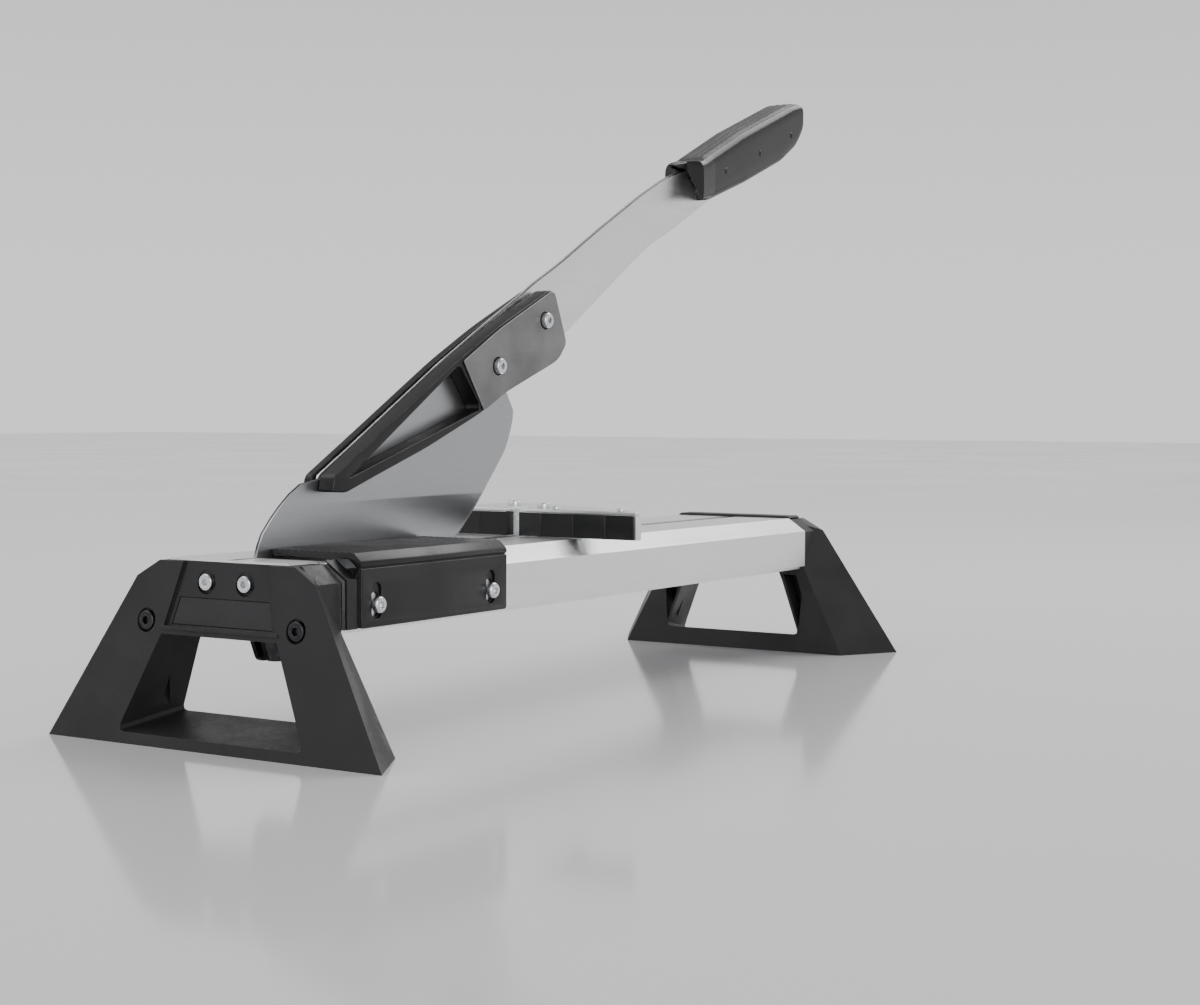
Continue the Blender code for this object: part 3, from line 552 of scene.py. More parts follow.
def lay_surface(desk: Desk, shader: bpy.types.Node, colour: bpy.types.NodeSocket, rough: tuple,
                height: bpy.types.NodeSocket, depth: float, strength: float) -> None:
    """Joins the parts of a finish to its shader.

    Args:
        desk: The material's desk.
        shader: Its Principled shader.
        colour: The colour with its wear.
        rough: (mask, roughness where it is 0, roughness where it is 1).
        height: The relief.
        depth: The relief's depth in metres.
        strength: How strongly the relief bends the light.
    """
    mask, low, high = rough
    bump = desk.add("ShaderNodeBump", {"Height": height, "Distance": depth, "Strength": strength})
    for socket, value in (("Base Color", colour), ("Roughness", desk.remap(mask, 0, 1, low, high)),
                          ("Normal", bump.outputs[0])):
        desk.tree.links.new(value, shader.inputs[socket])


@dataclass(frozen=True)
class Moulded:
    """Black or grey moulding with a fine spark-eroded grain, paler worn arrises and dusty patches."""

    name: str
    colour: Colour
    edge_colour: Colour
    roughness: float
    grain: float = 900.0
    depth: float = 0.00005
    edge_mark: float = 0.5
    coat: float = 0.0
    spread: float = 0.14
    mottle: float = 0.72
    specular: float = 0.38
    coat_roughness: float = 0.08

    def build(self) -> bpy.types.Material:
        """Makes the material from its grain, wear and handling marks."""
        made, desk, shader, place = start_material(self.name)
        grain = use(desk, EFFECTS.grain, place, Scale=self.grain)
        edge_mark = use(desk, EFFECTS.edge_mark, place, Amount=self.edge_mark)
        smudge = use(desk, EFFECTS.smudge, place)
        darker = tuple(self.mottle * part for part in self.colour)
        body = desk.blend(grain["Mottle"], darker, self.colour)
        rough = (smudge["Mask"], self.roughness - self.spread / 2, self.roughness + self.spread / 2)
        lay_surface(desk, shader, desk.blend(edge_mark["Mask"], body, self.edge_colour), rough, grain["Height"],
                    self.depth, 0.6)
        shader.inputs["Coat Weight"].default_value = self.coat
        shader.inputs["Coat Roughness"].default_value = self.coat_roughness
        shader.inputs["Specular IOR Level"].default_value = self.specular
        return made


@dataclass(frozen=True)
class Drawn:
    """Metal with lines along its length: extruded aluminium, ground or brushed steel."""

    name: str
    colour: Colour
    shade: Colour
    roughness: float
    stretch: tuple[float, float, float]
    depth: float = 0.00001
    spread: float = 0.12
    edge_mark: float = 0.5
    edge_colour: Colour = (0.86, 0.87, 0.88)
    scratches: float = 0.5
    evenness: float = 0.0
    handled: float = 0.55

    def build(self) -> bpy.types.Material:
        """Makes the material from its lines, bands, scratches, edge wear and handling marks; on the blade and the
        arm the edge colour is an even painted shade along the upper arrises.
        """
        made, desk, shader, place = start_material(self.name)
        lines = use(desk, EFFECTS.streaks, place, Stretch=self.stretch)
        edge_mark = use(desk, EFFECTS.edge_mark, place, Amount=self.edge_mark, Evenness=self.evenness)
        smudge = use(desk, EFFECTS.smudge, place)
        scratched = tuple(min(1.0, 1.15 * part + 0.03) for part in self.colour)
        body = desk.blend(desk.remap(lines["Lines"], 0.3, 0.7, 0, 1), self.shade, self.colour)
        body = desk.blend(desk.maths("MULTIPLY", lines["Scratches"], self.scratches), body, scratched)
        mixed = desk.maths("ADD", desk.maths("MULTIPLY", smudge["Mask"], self.handled),
                           desk.maths("MULTIPLY", lines["Bands"], 1 - self.handled))
        rough = (mixed, self.roughness - self.spread / 2, self.roughness + self.spread / 2)
        lay_surface(desk, shader, desk.blend(edge_mark["Mask"], body, self.edge_colour), rough, lines["Lines"],
                    self.depth, 0.5)
        shader.inputs["Metallic"].default_value = 1.0
        return made


@dataclass(frozen=True)
class Plated:
    """Zinc plate or black oxide on a fastener: cloudy colour and tiny pits."""

    name: str
    colour: Colour
    shade: Colour
    roughness: float
    cloud: float = 120.0
    pits: float = 1500.0
    pit_depth: float = 0.00001

    def build(self) -> bpy.types.Material:
        """Makes the material from cloudy patches, pits and bright arrises."""
        made, desk, shader, place = start_material(self.name)
        smudge = use(desk, EFFECTS.smudge, place, Scale=self.cloud)
        grain = use(desk, EFFECTS.grain, place, Scale=self.pits)
        edge_mark = use(desk, EFFECTS.edge_mark, place)
        body = desk.blend(smudge["Mask"], self.shade, self.colour)
        bright = tuple(min(1.0, 1.25 * part + 0.05) for part in self.colour)
        rough = (smudge["Mask"], self.roughness + 0.1, self.roughness)
        lay_surface(desk, shader, desk.blend(edge_mark["Mask"], body, bright), rough, grain["Height"],
                    self.pit_depth, 0.35)
        shader.inputs["Metallic"].default_value = 1.0
        return made


FINISHES = {
    "foot": Moulded("foot_moulding", (0.020, 0.020, 0.0215), (0.12, 0.12, 0.125), 0.44, depth=0.00006),
    "plate": Moulded("blank_plate", (0.026, 0.026, 0.028), (0.1, 0.1, 0.1), 0.34, depth=0.00002),
    "support": Moulded("support_moulding", (0.012, 0.012, 0.013), (0.12, 0.12, 0.125), 0.36, depth=0.00004),
    "casting": Moulded("carrier_casting", (0.007, 0.007, 0.0075), (0.06, 0.06, 0.062), 0.36, depth=0.00004),
    "face": Moulded("carrier_face", (0.190, 0.190, 0.193), (0.50, 0.50, 0.51), 0.40, grain=1600.0,
                    depth=0.00006, edge_mark=0.8, coat=0.1),
    "handle": Moulded("handle_gloss", (0.006, 0.006, 0.0065), (0.03, 0.03, 0.03), 0.27, grain=600.0,
                      depth=0.000006, edge_mark=0.2, coat=0.1, spread=0.06),
    "grip": Moulded("soft_grip", (0.075, 0.075, 0.078), (0.16, 0.16, 0.165), 0.45, grain=1600.0,
                    depth=0.00001, edge_mark=0.2),
    "rail": Drawn("extruded_aluminium", (0.93, 0.935, 0.94), (0.86, 0.865, 0.87), 0.36,
                  (12.0, 2600.0, 2600.0), scratches=0.2),
    # The blade's and the arm's near-black edge colour is painted shade: an even dark band on their upper arrises,
    # where they lie in shadow in the gap between the castings.
    "blade": Drawn("ground_blade", (0.44, 0.445, 0.455), (0.39, 0.395, 0.405), 0.33,
                   (90.0, 400.0, 3600.0), depth=0.000004, edge_mark=0.95, edge_colour=(0.05, 0.05, 0.052),
                   scratches=0.15, spread=0.05, evenness=1.0),
    "arm": Drawn("satin_arm", (0.90, 0.905, 0.91), (0.84, 0.845, 0.85), 0.36, (160.0, 900.0, 2600.0),
                 depth=0.000005, edge_mark=0.95, edge_colour=(0.05, 0.05, 0.052), scratches=0.15, evenness=1.0),
    "counter": Drawn("ground_strip", (0.52, 0.525, 0.53), (0.42, 0.425, 0.43), 0.28,
                     (20.0, 3000.0, 2600.0)),
    "bar": Drawn("sawn_bar", (0.90, 0.905, 0.91), (0.80, 0.805, 0.81), 0.34, (2200.0, 14.0, 2200.0)),
    "sheet": Drawn("fence_sheet", (0.88, 0.885, 0.89), (0.80, 0.805, 0.81), 0.34, (2200.0, 30.0, 400.0)),
    "zinc": Plated("bright_zinc", (0.78, 0.79, 0.81), (0.60, 0.61, 0.63), 0.22),
    "black_steel": Plated("black_oxide", (0.055, 0.055, 0.058), (0.030, 0.030, 0.032), 0.36),
}


class Workshop:
    """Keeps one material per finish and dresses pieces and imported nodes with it."""

    def __init__(self) -> None:
        """Starts with no material made."""
        self.made: dict[str, bpy.types.Material] = {}

    def material(self, finish: str) -> bpy.types.Material:
        """The finish's material, made on first use."""
        if finish not in self.made:
            self.made[finish] = FINISHES[finish].build()
        return self.made[finish]

    def dress(self, piece: bpy.types.Object, finish: str, body: str, nodes: Sequence[str] = ()) -> bpy.types.Object:
        """Gives a new piece its material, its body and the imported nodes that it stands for."""
        piece.data.materials.clear()
        piece.data.materials.append(self.material(finish))
        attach(piece, body)
        if nodes:
            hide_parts(*nodes)
        log.info("%s: %d faces, on %s", piece.name, len(piece.data.polygons), body)
        return piece

    def paint(self, node: str, finish: str) -> None:
        """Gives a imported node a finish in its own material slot."""
        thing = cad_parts[node]
        if not thing.material_slots:
            thing.data.materials.append(None)
        for place in thing.material_slots:
            place.material = self.material(finish)
        log.info("%s: packed shape, %s", node, finish)


SHOP = Workshop()


# ---- packed places and fasteners ---------------------------------------------------------

def box_ends(node: str) -> tuple[Array, Array]:
    """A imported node's lowest and highest corners."""
    low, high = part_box(node)
    return np.asarray(low, dtype=float), np.asarray(high, dtype=float)


def slab(node: str, name: str, across: Across, loops: Sequence[Array], edge: float,
         steps: int = 4) -> bpy.types.Object:
    """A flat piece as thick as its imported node, with every arris rounded by the same amount."""
    low, high = box_ends(node)
    side = across.value.index(2)
    return flat_piece(name, across, loops, rounded_rim(low[side], high[side], edge, steps))


@dataclass(frozen=True)
class Screw:
    """A cap screw with a hexagon socket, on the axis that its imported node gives."""

    node: str
    axis: int
    way: int
    head: float
    height: float
    shank: float
    finish: str
    body: str
    slot: str
    dome: float = 0.25
    socket_share: float = 0.46
    crown_share: float = 0.22

    def profile(self, length: float) -> list[Point]:
        """Rows of the screw from the socket's floor, over the crowned head and down the shank."""
        top, radius = self.height, self.head
        socket, lip, flat = radius * self.socket_share, radius * 0.10, 1 - self.crown_share
        rows = [(0.0, top * 0.35, 0, 0), (socket * 0.96, top * 0.35, 1, 0), (socket, top * 0.40, 1, 0),
                (socket, top * 0.97, 1, 0.3), (socket + lip, top, 0, 0.8), (radius * flat, top, 0, 0.2)]
        for turn in np.linspace(np.pi / 2, 0, 6)[1:]:
            out = radius * (flat + self.crown_share * math.cos(turn))
            rows.append((out, top * (1 - self.dome + self.dome * math.sin(turn)), 0, 0.9))
        rows += [(radius, 0.0, 0, 0.2), (self.shank, 0.0, 0, 0), (self.shank, -length, 0, 0),
                 (0.0, -length, 0, 0)]
        return rows

    def build(self) -> bpy.types.Object:
        """Makes the screw where its node is."""
        low, high = box_ends(self.node)
        place = (low + high) / 2
        outer = (high if self.way > 0 else low)[self.axis]
        place[self.axis] = outer - self.way * self.height
        length = (high - low)[self.axis] - self.height
        direction = np.zeros(3)
        direction[self.axis] = self.way
        piece = turned_piece(self.node + "_detail", self.profile(length), place, direction)
        return SHOP.dress(piece, self.finish, self.body, [self.node])


def hexagon_nut(node: str, bore: float, body: str, twist: float = 0.2) -> bpy.types.Object:
    """A nut with chamfered corners: six-sided rows between two round ones.

    Args:
        node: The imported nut, which lies across Y.
        bore: Radius of its hole.
        body: The body that it rides on.
        twist: Turn about its axis.

    Returns:
        The object.
    """
    low, high = box_ends(node)
    tall = high[1] - low[1]
    wide = (high[2] - low[2]) / 2
    flat = wide / math.cos(math.pi / 6) * 0.98
    rows = [(bore, tall, 0, 0), (bore + 0.0004, tall, 0, 0.4), (wide * 0.90, tall, 0, 0.4),
            (flat, tall * 0.84, 1, 0.8), (flat, tall * 0.16, 1, 0.8), (wide * 0.90, 0, 0, 0.2),
            (bore, 0, 0, 0), (bore, tall, 0, 0)]
    place = ((low[0] + high[0]) / 2, low[1], (low[2] + high[2]) / 2)
    piece = turned_piece(node + "_detail", rows, place, (0, 1, 0), twist=twist)
    return SHOP.dress(piece, "zinc", body, [node])


# ---- feet --------------------------------------------------------------------------------

@dataclass
class Foot:
    """One A-frame foot with its blank plate and four screws."""

    end: End
    softness: float = 0.0011

    def build(self) -> None:
        """Makes the moulding, the plate and the screws."""
        word = self.end.name.lower()
        node = f"{word}_foot"
        SHOP.dress(softened_copy(node, f"{node}_moulding", self.softness), "foot", "base", [node])
        plate = f"{word}_nameplate"
        SHOP.dress(softened_copy(plate, f"{plate}_blank", 0.0004, 2), "plate", "base", [plate])
        for side in Side:
            where = side.name.lower()
            Screw(f"{word}_bracket_screw_{where}", 0, self.end.value, 0.0060, 0.0040, 0.0030, "zinc",
                  "base", "zinc_fasteners").build()
            Screw(f"{word}_rail_screw_{where}", 0, self.end.value, 0.0070, 0.0040, 0.0025, "black_steel",
                  "base", "blackened_steel").build()


# ---- table -------------------------------------------------------------------------------

@dataclass
class Table:
    """The rails, counter blade, wear plate and hidden brackets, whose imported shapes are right."""

    bright: tuple[str, ...] = ("rail_near", "rail_far", "head_plate")
    black: tuple[str, ...] = ("pivot_bracket_near", "pivot_bracket_far", "rear_tie_plate")
    zinc: tuple[str, ...] = ("counter_screw_1", "counter_screw_2", "counter_screw_3", "pivot_washer_near",
                             "pivot_washer_far", "fence_lock_spacer", "fence_pivot_spacer", "pivot_bolt")

    def build(self) -> None:
        """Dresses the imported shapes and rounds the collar."""
        for nodes, finish in ((self.bright, "rail"), (self.black, "black_steel"), (self.zinc, "zinc")):
            for node in nodes:
                SHOP.paint(node, finish)
        SHOP.paint("counter_blade", "counter")
        SHOP.dress(softened_copy("rail_collar", "rail_collar_band", 0.0004, 2), "support", "base",
                   ["rail_collar"])
        hexagon_nut("pivot_nut", 0.0051, "base")


# ---- near support ------------------------------------------------------------------------

@dataclass
class Support:
    """The black cover beside the blade: a slotted skirt below and a ridged top above a shadow groove."""

    split_z: float = 0.1291
    slot_radius: float = 0.0056
    shoulder_radius: float = 0.0043
    travel: float = 0.0047
    travel_middle: float = 0.1030
    slot_span: tuple[float, float] = (0.0925, 0.1185)
    screw_x: tuple[float, float] = (0.0563, 0.1953)
    edge: float = 0.0009
    ridge_pitch: float = 0.0062
    ridge_rise: float = 0.0007
    lip_y: float = -0.0740
    under_z: float = 0.1356

    def build(self) -> None:
        """Makes the skirt, the top and the two shoulder screws."""
        low, high = box_ends("near_support")
        self._skirt(low, high)
        self._top(low, high)
        for where in ("front", "rear"):
            self._shoulder_screw(f"support_screw_{where}")

    def _skirt(self, low: Array, high: Array) -> None:
        """Two flat layers across Y: one with the wide slots and one behind with the narrow ones. The layer behind
        is a black sheet that stands in for the shadow inside the wide slots.
        """
        outline = rounded_loop([(low[0], low[2]), (high[0], low[2]), (high[0], self.split_z),
                                (low[0], self.split_z)], [0.0030, 0.0030, 0.0004, 0.0004])
        middle = sum(self.slot_span) / 2
        half = (self.slot_span[1] - self.slot_span[0]) / 2 - self.slot_radius
        slots = [stadium((x, middle), half, self.slot_radius) for x in self.screw_x]
        floor = low[1] + 0.0020
        narrow = [stadium((x, self.travel_middle), self.travel, self.shoulder_radius) for x in self.screw_x]
        front = rounded_rim(low[1], floor, self.edge)
        skirt = flat_piece("support_skirt", Across.Y, [outline] + slots, front)
        SHOP.dress(skirt, "support", "support", ["near_support"])
        # Black sheet behind the wide slots, as painted shadow inside them in place of the lit rail.
        behind = rounded_rim(floor + 0.00005, low[1] + 0.0034, 0.0003)
        layer = flat_piece("support_slot_shade_layer", Across.Y, [outline] + narrow, behind)
        SHOP.dress(layer, "support", "support")

    def _top(self, low: Array, high: Array) -> None:
        """A section across X: shoulder, ridged deck and hollow underside, with its ridges as a cosine."""
        deck_y = np.linspace(low[1] + 0.0084, high[1] - 0.0010, 150)
        wave = np.abs(np.cos(np.pi * (deck_y - deck_y[0]) / self.ridge_pitch)) ** 6
        deck = np.column_stack([deck_y, high[2] - self.ridge_rise * wave])
        base = self.split_z - 0.0004
        shoulder = np.array([(low[1] + 0.0014, base), (low[1] + 0.0014, base + 0.0012),
                             (low[1] + 0.0003, base + 0.0022), (low[1], base + 0.0032),
                             (low[1] + 0.0002, 0.1334), (low[1] + 0.0012, 0.1348),
                             (low[1] + 0.0070, high[2] - 0.0006)])
        back = np.array([(high[1], high[2] - 0.0008), (high[1], self.under_z), (self.lip_y, self.under_z),
                         (low[1] + 0.0035, base)])
        section = np.concatenate([shoulder, deck, back])
        piece = flat_piece("support_top", Across.X, [section], rounded_rim(low[0], high[0], 0.0003, 2))
        SHOP.dress(piece, "support", "support")

    def _shoulder_screw(self, node: str) -> None:
        """A large round head with a hexagon socket, over a washer step and a shoulder."""
        low, high = box_ends(node)
        centre = ((low[0] + high[0]) / 2, -0.0859, (low[2] + high[2]) / 2)
        height = centre[1] - low[1]
        radius = (high[0] - low[0]) / 2
        rows = [(0, 0.0018, 0, 0), (0.0026, 0.0018, 1, 0), (0.0028, height - 0.0004, 1, 0.4),
                (0.0034, height, 0, 0.8), (radius * 0.72, height, 0, 0.3),
                (radius * 0.86, height - 0.0005, 0, 0.8), (radius * 0.95, height - 0.0013, 0, 0.8),
                (radius, height - 0.0024, 0, 0.5), (radius, 0, 0, 0.2), (0.0041, 0, 0, 0),
                (0.0041, -0.0041, 0, 0), (0.0030, -0.0041, 0, 0), (0.0030, centre[1] - high[1], 0, 0),
                (0, centre[1] - high[1], 0, 0)]
        piece = turned_piece(f"{node}_detail", rows, centre, (0, -1, 0))
        SHOP.dress(piece, "zinc", "base", [node])


# ---- lever -------------------------------------------------------------------------------

@dataclass
class Lever:
    """The blade, its carrier of two castings with a painted face, and the flat arm to the handle."""

    pivot: Point = (0.04125, 0.092)
    heel: float = 0.0165
    bore: float = 0.0083
    ground: float = 0.0060
    bolts: tuple[Point, ...] = ((0.3000, 0.2772), (0.3693, 0.3175))
    screws: tuple[Point, ...] = ((0.1000, 0.1870), (0.2780, 0.2610))
    bolt_bore: float = 0.0042
    screw_bore: float = 0.0027
    window: tuple[Point, ...] = ((0.1100, 0.1900), (0.2796, 0.2423), (0.2490, 0.2775))
    window_reach: tuple[float, ...] = (0.0030, 0.0090, 0.0050)

    def build(self) -> None:
        """Makes the lever's flat pieces and fasteners."""
        self._blade()
        self._arm()
        self._castings()
        self._face()
        SHOP.paint("blade_bush", "black_steel")
        for where, word in zip(("lower", "upper"), self.bolts):
            Screw(f"carrier_bolt_{where}", 1, -1, 0.0065, 0.0060, 0.0039, "zinc", "lever",
                  "zinc_fasteners").build()
            hexagon_nut(f"carrier_nut_{where}", 0.0041, "lever", 0.1 + word[0])
        for where in ("front", "rear"):
            Screw(f"blade_screw_{where}", 1, 1, 0.0045, 0.0030, 0.0025, "black_steel", "lever",
                  "blackened_steel").build()

    def _blade_outline(self) -> tuple[Array, Array]:
        """The blade's outline, and which of its points lie on the cutting edge.

        The heel is an arc about the pivot and the cutting edge a cubic Bezier curve to the tip.
        """
        turn = np.radians(np.linspace(180, 285, 30))
        heel = np.column_stack([self.pivot[0] + self.heel * np.cos(turn),
                                self.pivot[1] + self.heel * np.sin(turn)])
        ends = [np.array(p) for p in ((0.060, 0.0775), (0.200, 0.0870), (0.268, 0.1180), (0.3332, 0.2070))]
        t = np.linspace(0, 1, 90)[:, None]
        edge = ((1 - t) ** 3 * ends[0] + 3 * t * (1 - t) ** 2 * ends[1] + 3 * t ** 2 * (1 - t) * ends[2]
                + t ** 3 * ends[3])
        tip = np.array([(0.3388, 0.2180), (0.3425, 0.2260), (0.3447, 0.2330), (0.3457, 0.2408)])
        back = np.array([(0.3240, 0.2740), (0.3000, 0.3055), (0.2469, 0.2772), (0.1440, 0.2172),
                         (0.0960, 0.1900), (0.0727, 0.1862), (0.0610, 0.1795), (0.0500, 0.1710),
                         (0.0400, 0.1618), (0.0307, 0.1517), (0.0260, 0.1430), (0.0230, 0.1340),
                         (0.0240, 0.1150)])
        loop = np.concatenate([heel, edge, tip, back])
        cutting = np.zeros(len(loop))
        cutting[len(heel):len(heel) + len(edge)] = np.sin(np.linspace(0, np.pi, len(edge))) ** 0.8
        return loop, cutting

    def _blade(self) -> None:
        """A flat steel blade, ground back along its edge on the near face, with a dark painted shade along its
        upper arrises.
        """
        low, high = box_ends("blade")
        loop, cutting = self._blade_outline()
        ground = 0.0003 + self.ground * cutting
        fine = 0.0003
        rim = [(ground, low[1], 0.0), (fine + ground * 0.08, high[1] - 0.0006, 0.9),
               (0.0, high[1] - 0.0004, 1.0), (0.0, high[1] - fine, 1.0), (fine, high[1], 0.5)]
        holes = [ring(self.pivot, self.bore), ring(self.bolts[0], self.bolt_bore)]
        holes += [ring(place, self.screw_bore, 24) for place in self.screws]
        piece = flat_piece("blade_ground", Across.Y, [loop] + holes, rim)
        # Only the upper arrises keep the edge mark, which the blade's finish paints as shade.
        keep_upper_edges(piece)
        SHOP.dress(piece, "blade", "lever", ["blade"])

    def _arm(self) -> None:
        """The flat arm, whose edges are rolled round, with a dark painted shade along its upper arrises."""
        under = [(0.0940, 0.1830), (0.2066, 0.2150), (0.3123, 0.2585), (0.4020, 0.2940), (0.4308, 0.3085),
                 (0.4585, 0.3258), (0.5022, 0.3530), (0.5487, 0.3814), (0.5746, 0.3965), (0.6143, 0.4130),
                 (0.6628, 0.4362), (0.7400, 0.4760), (0.8450, 0.5230)]
        over = [(0.8400, 0.5450), (0.7300, 0.5120), (0.6600, 0.4800), (0.6012, 0.4616), (0.5555, 0.4406),
                (0.4859, 0.4048), (0.4203, 0.3694), (0.3790, 0.3495), (0.3661, 0.3420), (0.3000, 0.3078),
                (0.2469, 0.2792), (0.1440, 0.2190), (0.0960, 0.1915)]
        loop = rounded_loop(under + over, 0.012)
        holes = [ring(place, self.bolt_bore) for place in self.bolts]
        holes += [ring(place, self.screw_bore, 24) for place in self.screws]
        piece = slab("lever_arm", "arm_rolled", Across.Y, [loop] + holes, 0.0014)
        # The rim's edge mark is kept on the upper arrises only, where the arm's finish paints it as shade.
        keep_upper_edges(piece)
        SHOP.dress(piece, "arm", "lever", ["lever_arm"])

    def _carrier_loop(self) -> Array:
        """Side outline of the castings, with broad rounds at the arm's end."""
        corners = [(0.0900, 0.1800), (0.1060, 0.1790), (0.1436, 0.1913), (0.2066, 0.2116), (0.2795, 0.2390),
                   (0.3123, 0.2551), (0.3900, 0.2832), (0.4035, 0.2990), (0.3835, 0.3465), (0.3027, 0.3100),
                   (0.2469, 0.2812), (0.1440, 0.2214), (0.0930, 0.1920)]
        reach = [0.002, 0.004, 0.010, 0.015, 0.015, 0.012, 0.009, 0.007, 0.010, 0.015, 0.015, 0.015, 0.003]
        return rounded_loop(corners, reach)

    def _castings(self) -> None:
        """The two castings: the near one deep with a window, the far one shallow and closed."""
        bolts = [ring(place, self.bolt_bore) for place in self.bolts]
        window = rounded_loop(self.window, self.window_reach)
        near = slab("near_casting", "near_casting_shell", Across.Y, [self._carrier_loop(), window] + bolts,
                    0.0012)
        SHOP.dress(near, "casting", "lever", ["near_casting"])
        screws = [ring(place, self.screw_bore, 24) for place in self.screws]
        far = slab("far_casting", "far_casting_shell", Across.Y, [self._carrier_loop()] + bolts + screws,
                   0.0012)
        SHOP.dress(far, "casting", "lever", ["far_casting"])

    def _face(self) -> None:
        """The grey face that lies on the rear of the near casting, cleared round the bolt heads."""
        corners = [(0.2523, 0.2806), (0.2806, 0.2405), (0.3123, 0.2563), (0.3895, 0.2843), (0.4022, 0.2990),
                   (0.3829, 0.3448), (0.3027, 0.3082)]
        reach = [0.002, 0.003, 0.010, 0.008, 0.005, 0.008, 0.010]
        holes = [ring(place, 0.0078) for place in self.bolts]
        piece = slab("near_face_plate", "carrier_face_plate", Across.Y,
                     [rounded_loop(corners, reach)] + holes, 0.0006)
        SHOP.dress(piece, "face", "lever", ["near_face_plate"])


# ---- handle ------------------------------------------------------------------------------

@dataclass
class Handle:
    """The glossy pistol handle, its ridged top strip and three rivets."""

    under: tuple[Point, ...] = ((0.6390, 0.4378), (0.7322, 0.4682), (0.8100, 0.4975), (0.8400, 0.5150),
                                (0.8520, 0.5300), (0.8574, 0.5450))
    over: tuple[Point, ...] = ((0.6150, 0.4762), (0.6475, 0.4838), (0.7251, 0.5185), (0.8309, 0.5585),
                               (0.8480, 0.5625), (0.8574, 0.5600))
    rivets: tuple[Point, ...] = ((0.6862, 0.4759), (0.7570, 0.5005), (0.8250, 0.5263))
    guard_x: float = 0.6390
    shoulder_x: float = 0.6340
    side_x: float = 0.6641
    skin: float = 0.0004
    hollow: float = 0.93
    boxiness: float = 5.0
    nub_z: tuple[float, float] = (0.4742, 0.4712)
    nub_half: tuple[float, float] = (0.0040, 0.0065)
    flare: float = 0.0022
    around: int = 128
    ridges: int = 4
    round_end: float = 0.0065
    strip_x: tuple[float, float] = (0.6480, 0.8450)
    strip_width: float = 0.80
    strip_rise: float = 0.0005
    ridge_rise: float = 0.0007

    def build(self) -> None:
        """Makes the handle's three kinds of piece."""
        near, _ = box_ends("handle_near")
        _, far = box_ends("handle_far")
        self._body(near[1], far[1])
        self._grip()
        for number, place in enumerate(self.rivets, 1):
            self._rivet(number, place, near[1])

    @staticmethod
    def _softened(corners: Sequence[Point], x: Array, blur: int) -> Array:
        """Heights at places along X on a line through corners, blurred by a cosine window."""
        line = np.asarray(corners)
        fine = np.linspace(line[0, 0], line[-1, 0], 600)
        raw = np.interp(fine, line[:, 0], line[:, 1])
        kernel = np.hanning(2 * blur + 1)
        padded = np.pad(raw, blur, mode="reflect", reflect_type="odd")
        return np.interp(x, fine, np.convolve(padded, kernel / kernel.sum(), mode="valid"))

    def _body(self, near_y: float, far_y: float) -> None:
        """Upright superellipse sections from the guard to the butt.

        A nub lies on the arm in front of the guard. At the guard the half width grows in a straight
        line over a few millimetres, and the underside rises towards the arm in proportion to the
        distance from the side. Behind it that hollow and the flare fade away. At the butt the size
        falls along a quarter circle.
        """
        first, last = self.over[0][0], self.over[-1][0]
        x = np.concatenate([[first], np.linspace(first, self.guard_x, 24),
                            np.linspace(self.guard_x, self.side_x, 20)[1:],
                            np.linspace(self.side_x, last - self.round_end, 90)[1:],
                            last - self.round_end * (1 - np.sin(np.linspace(0, np.pi / 2, 16)))[1:]])
        front = np.clip((x - first) / (self.guard_x - first), 0, 1)
        upper = self._softened(self.over, x, 16)
        behind = self._softened(self.under, x, 24)
        knots = (first, self.shoulder_x, self.guard_x)
        lower = np.where(x < self.guard_x, np.interp(x, knots, (*self.nub_z, self.under[0][1])), behind)
        reach = np.clip((x - (last - self.round_end)) / self.round_end, 0, 1)
        close = np.sqrt(np.clip(1 - reach ** 2, 0, 1))
        close[0] = 0.0
        half = (far_y - near_y) / 2
        away = np.clip((x - self.guard_x) / (self.side_x - self.guard_x), 0, 1)
        full = half - self.skin + (self.flare - self.skin) * (1 - away)
        growing = np.interp(x, knots, (*self.nub_half, half + self.flare - 2 * self.skin))
        wide = np.where(x < self.guard_x, growing, full)
        wide = np.where(close < 1, np.maximum(wide - self.round_end * (1 - close), 0) * (close > 0), wide)
        tall = (upper - lower) / 2
        tall = np.where(close < 1, np.maximum(tall - 0.5 * self.round_end * (1 - close), 0) * (close > 0),
                        tall)
        turn = np.linspace(0, 2 * np.pi, self.around, endpoint=False)
        power = 2 / self.boxiness
        round_y = np.sign(np.cos(turn)) * np.abs(np.cos(turn)) ** power
        round_h = np.sign(np.sin(turn)) * np.abs(np.sin(turn)) ** power
        notch = self.hollow * np.where(x < self.guard_x, 1, 1 - away)
        hollow = notch[:, None] * (1 - np.abs(round_y)) * (round_h < 0)
        heights = tall[:, None] * (round_h - 2 * hollow * round_h)
        sections = np.stack([wide[:, None] * round_y, heights], axis=-1)
        count = len(x)
        centre = 0.0030 * (1 - front) + (near_y + far_y) / 2 * front
        path = np.column_stack([x, centre, (upper + lower) / 2])
        up = np.tile([0.0, 0.0, 1.0], (count, 1))
        edge_mark = np.repeat((np.abs(np.cos(turn) * np.sin(turn)) ** 3 * 6)[None], count, axis=0)
        piece = swept_piece("handle_shell", sections, path, np.array([0.0, 1.0, 0.0]), up, edge_mark)
        SHOP.dress(piece, "handle", "lever", ["handle_near", "handle_far"])

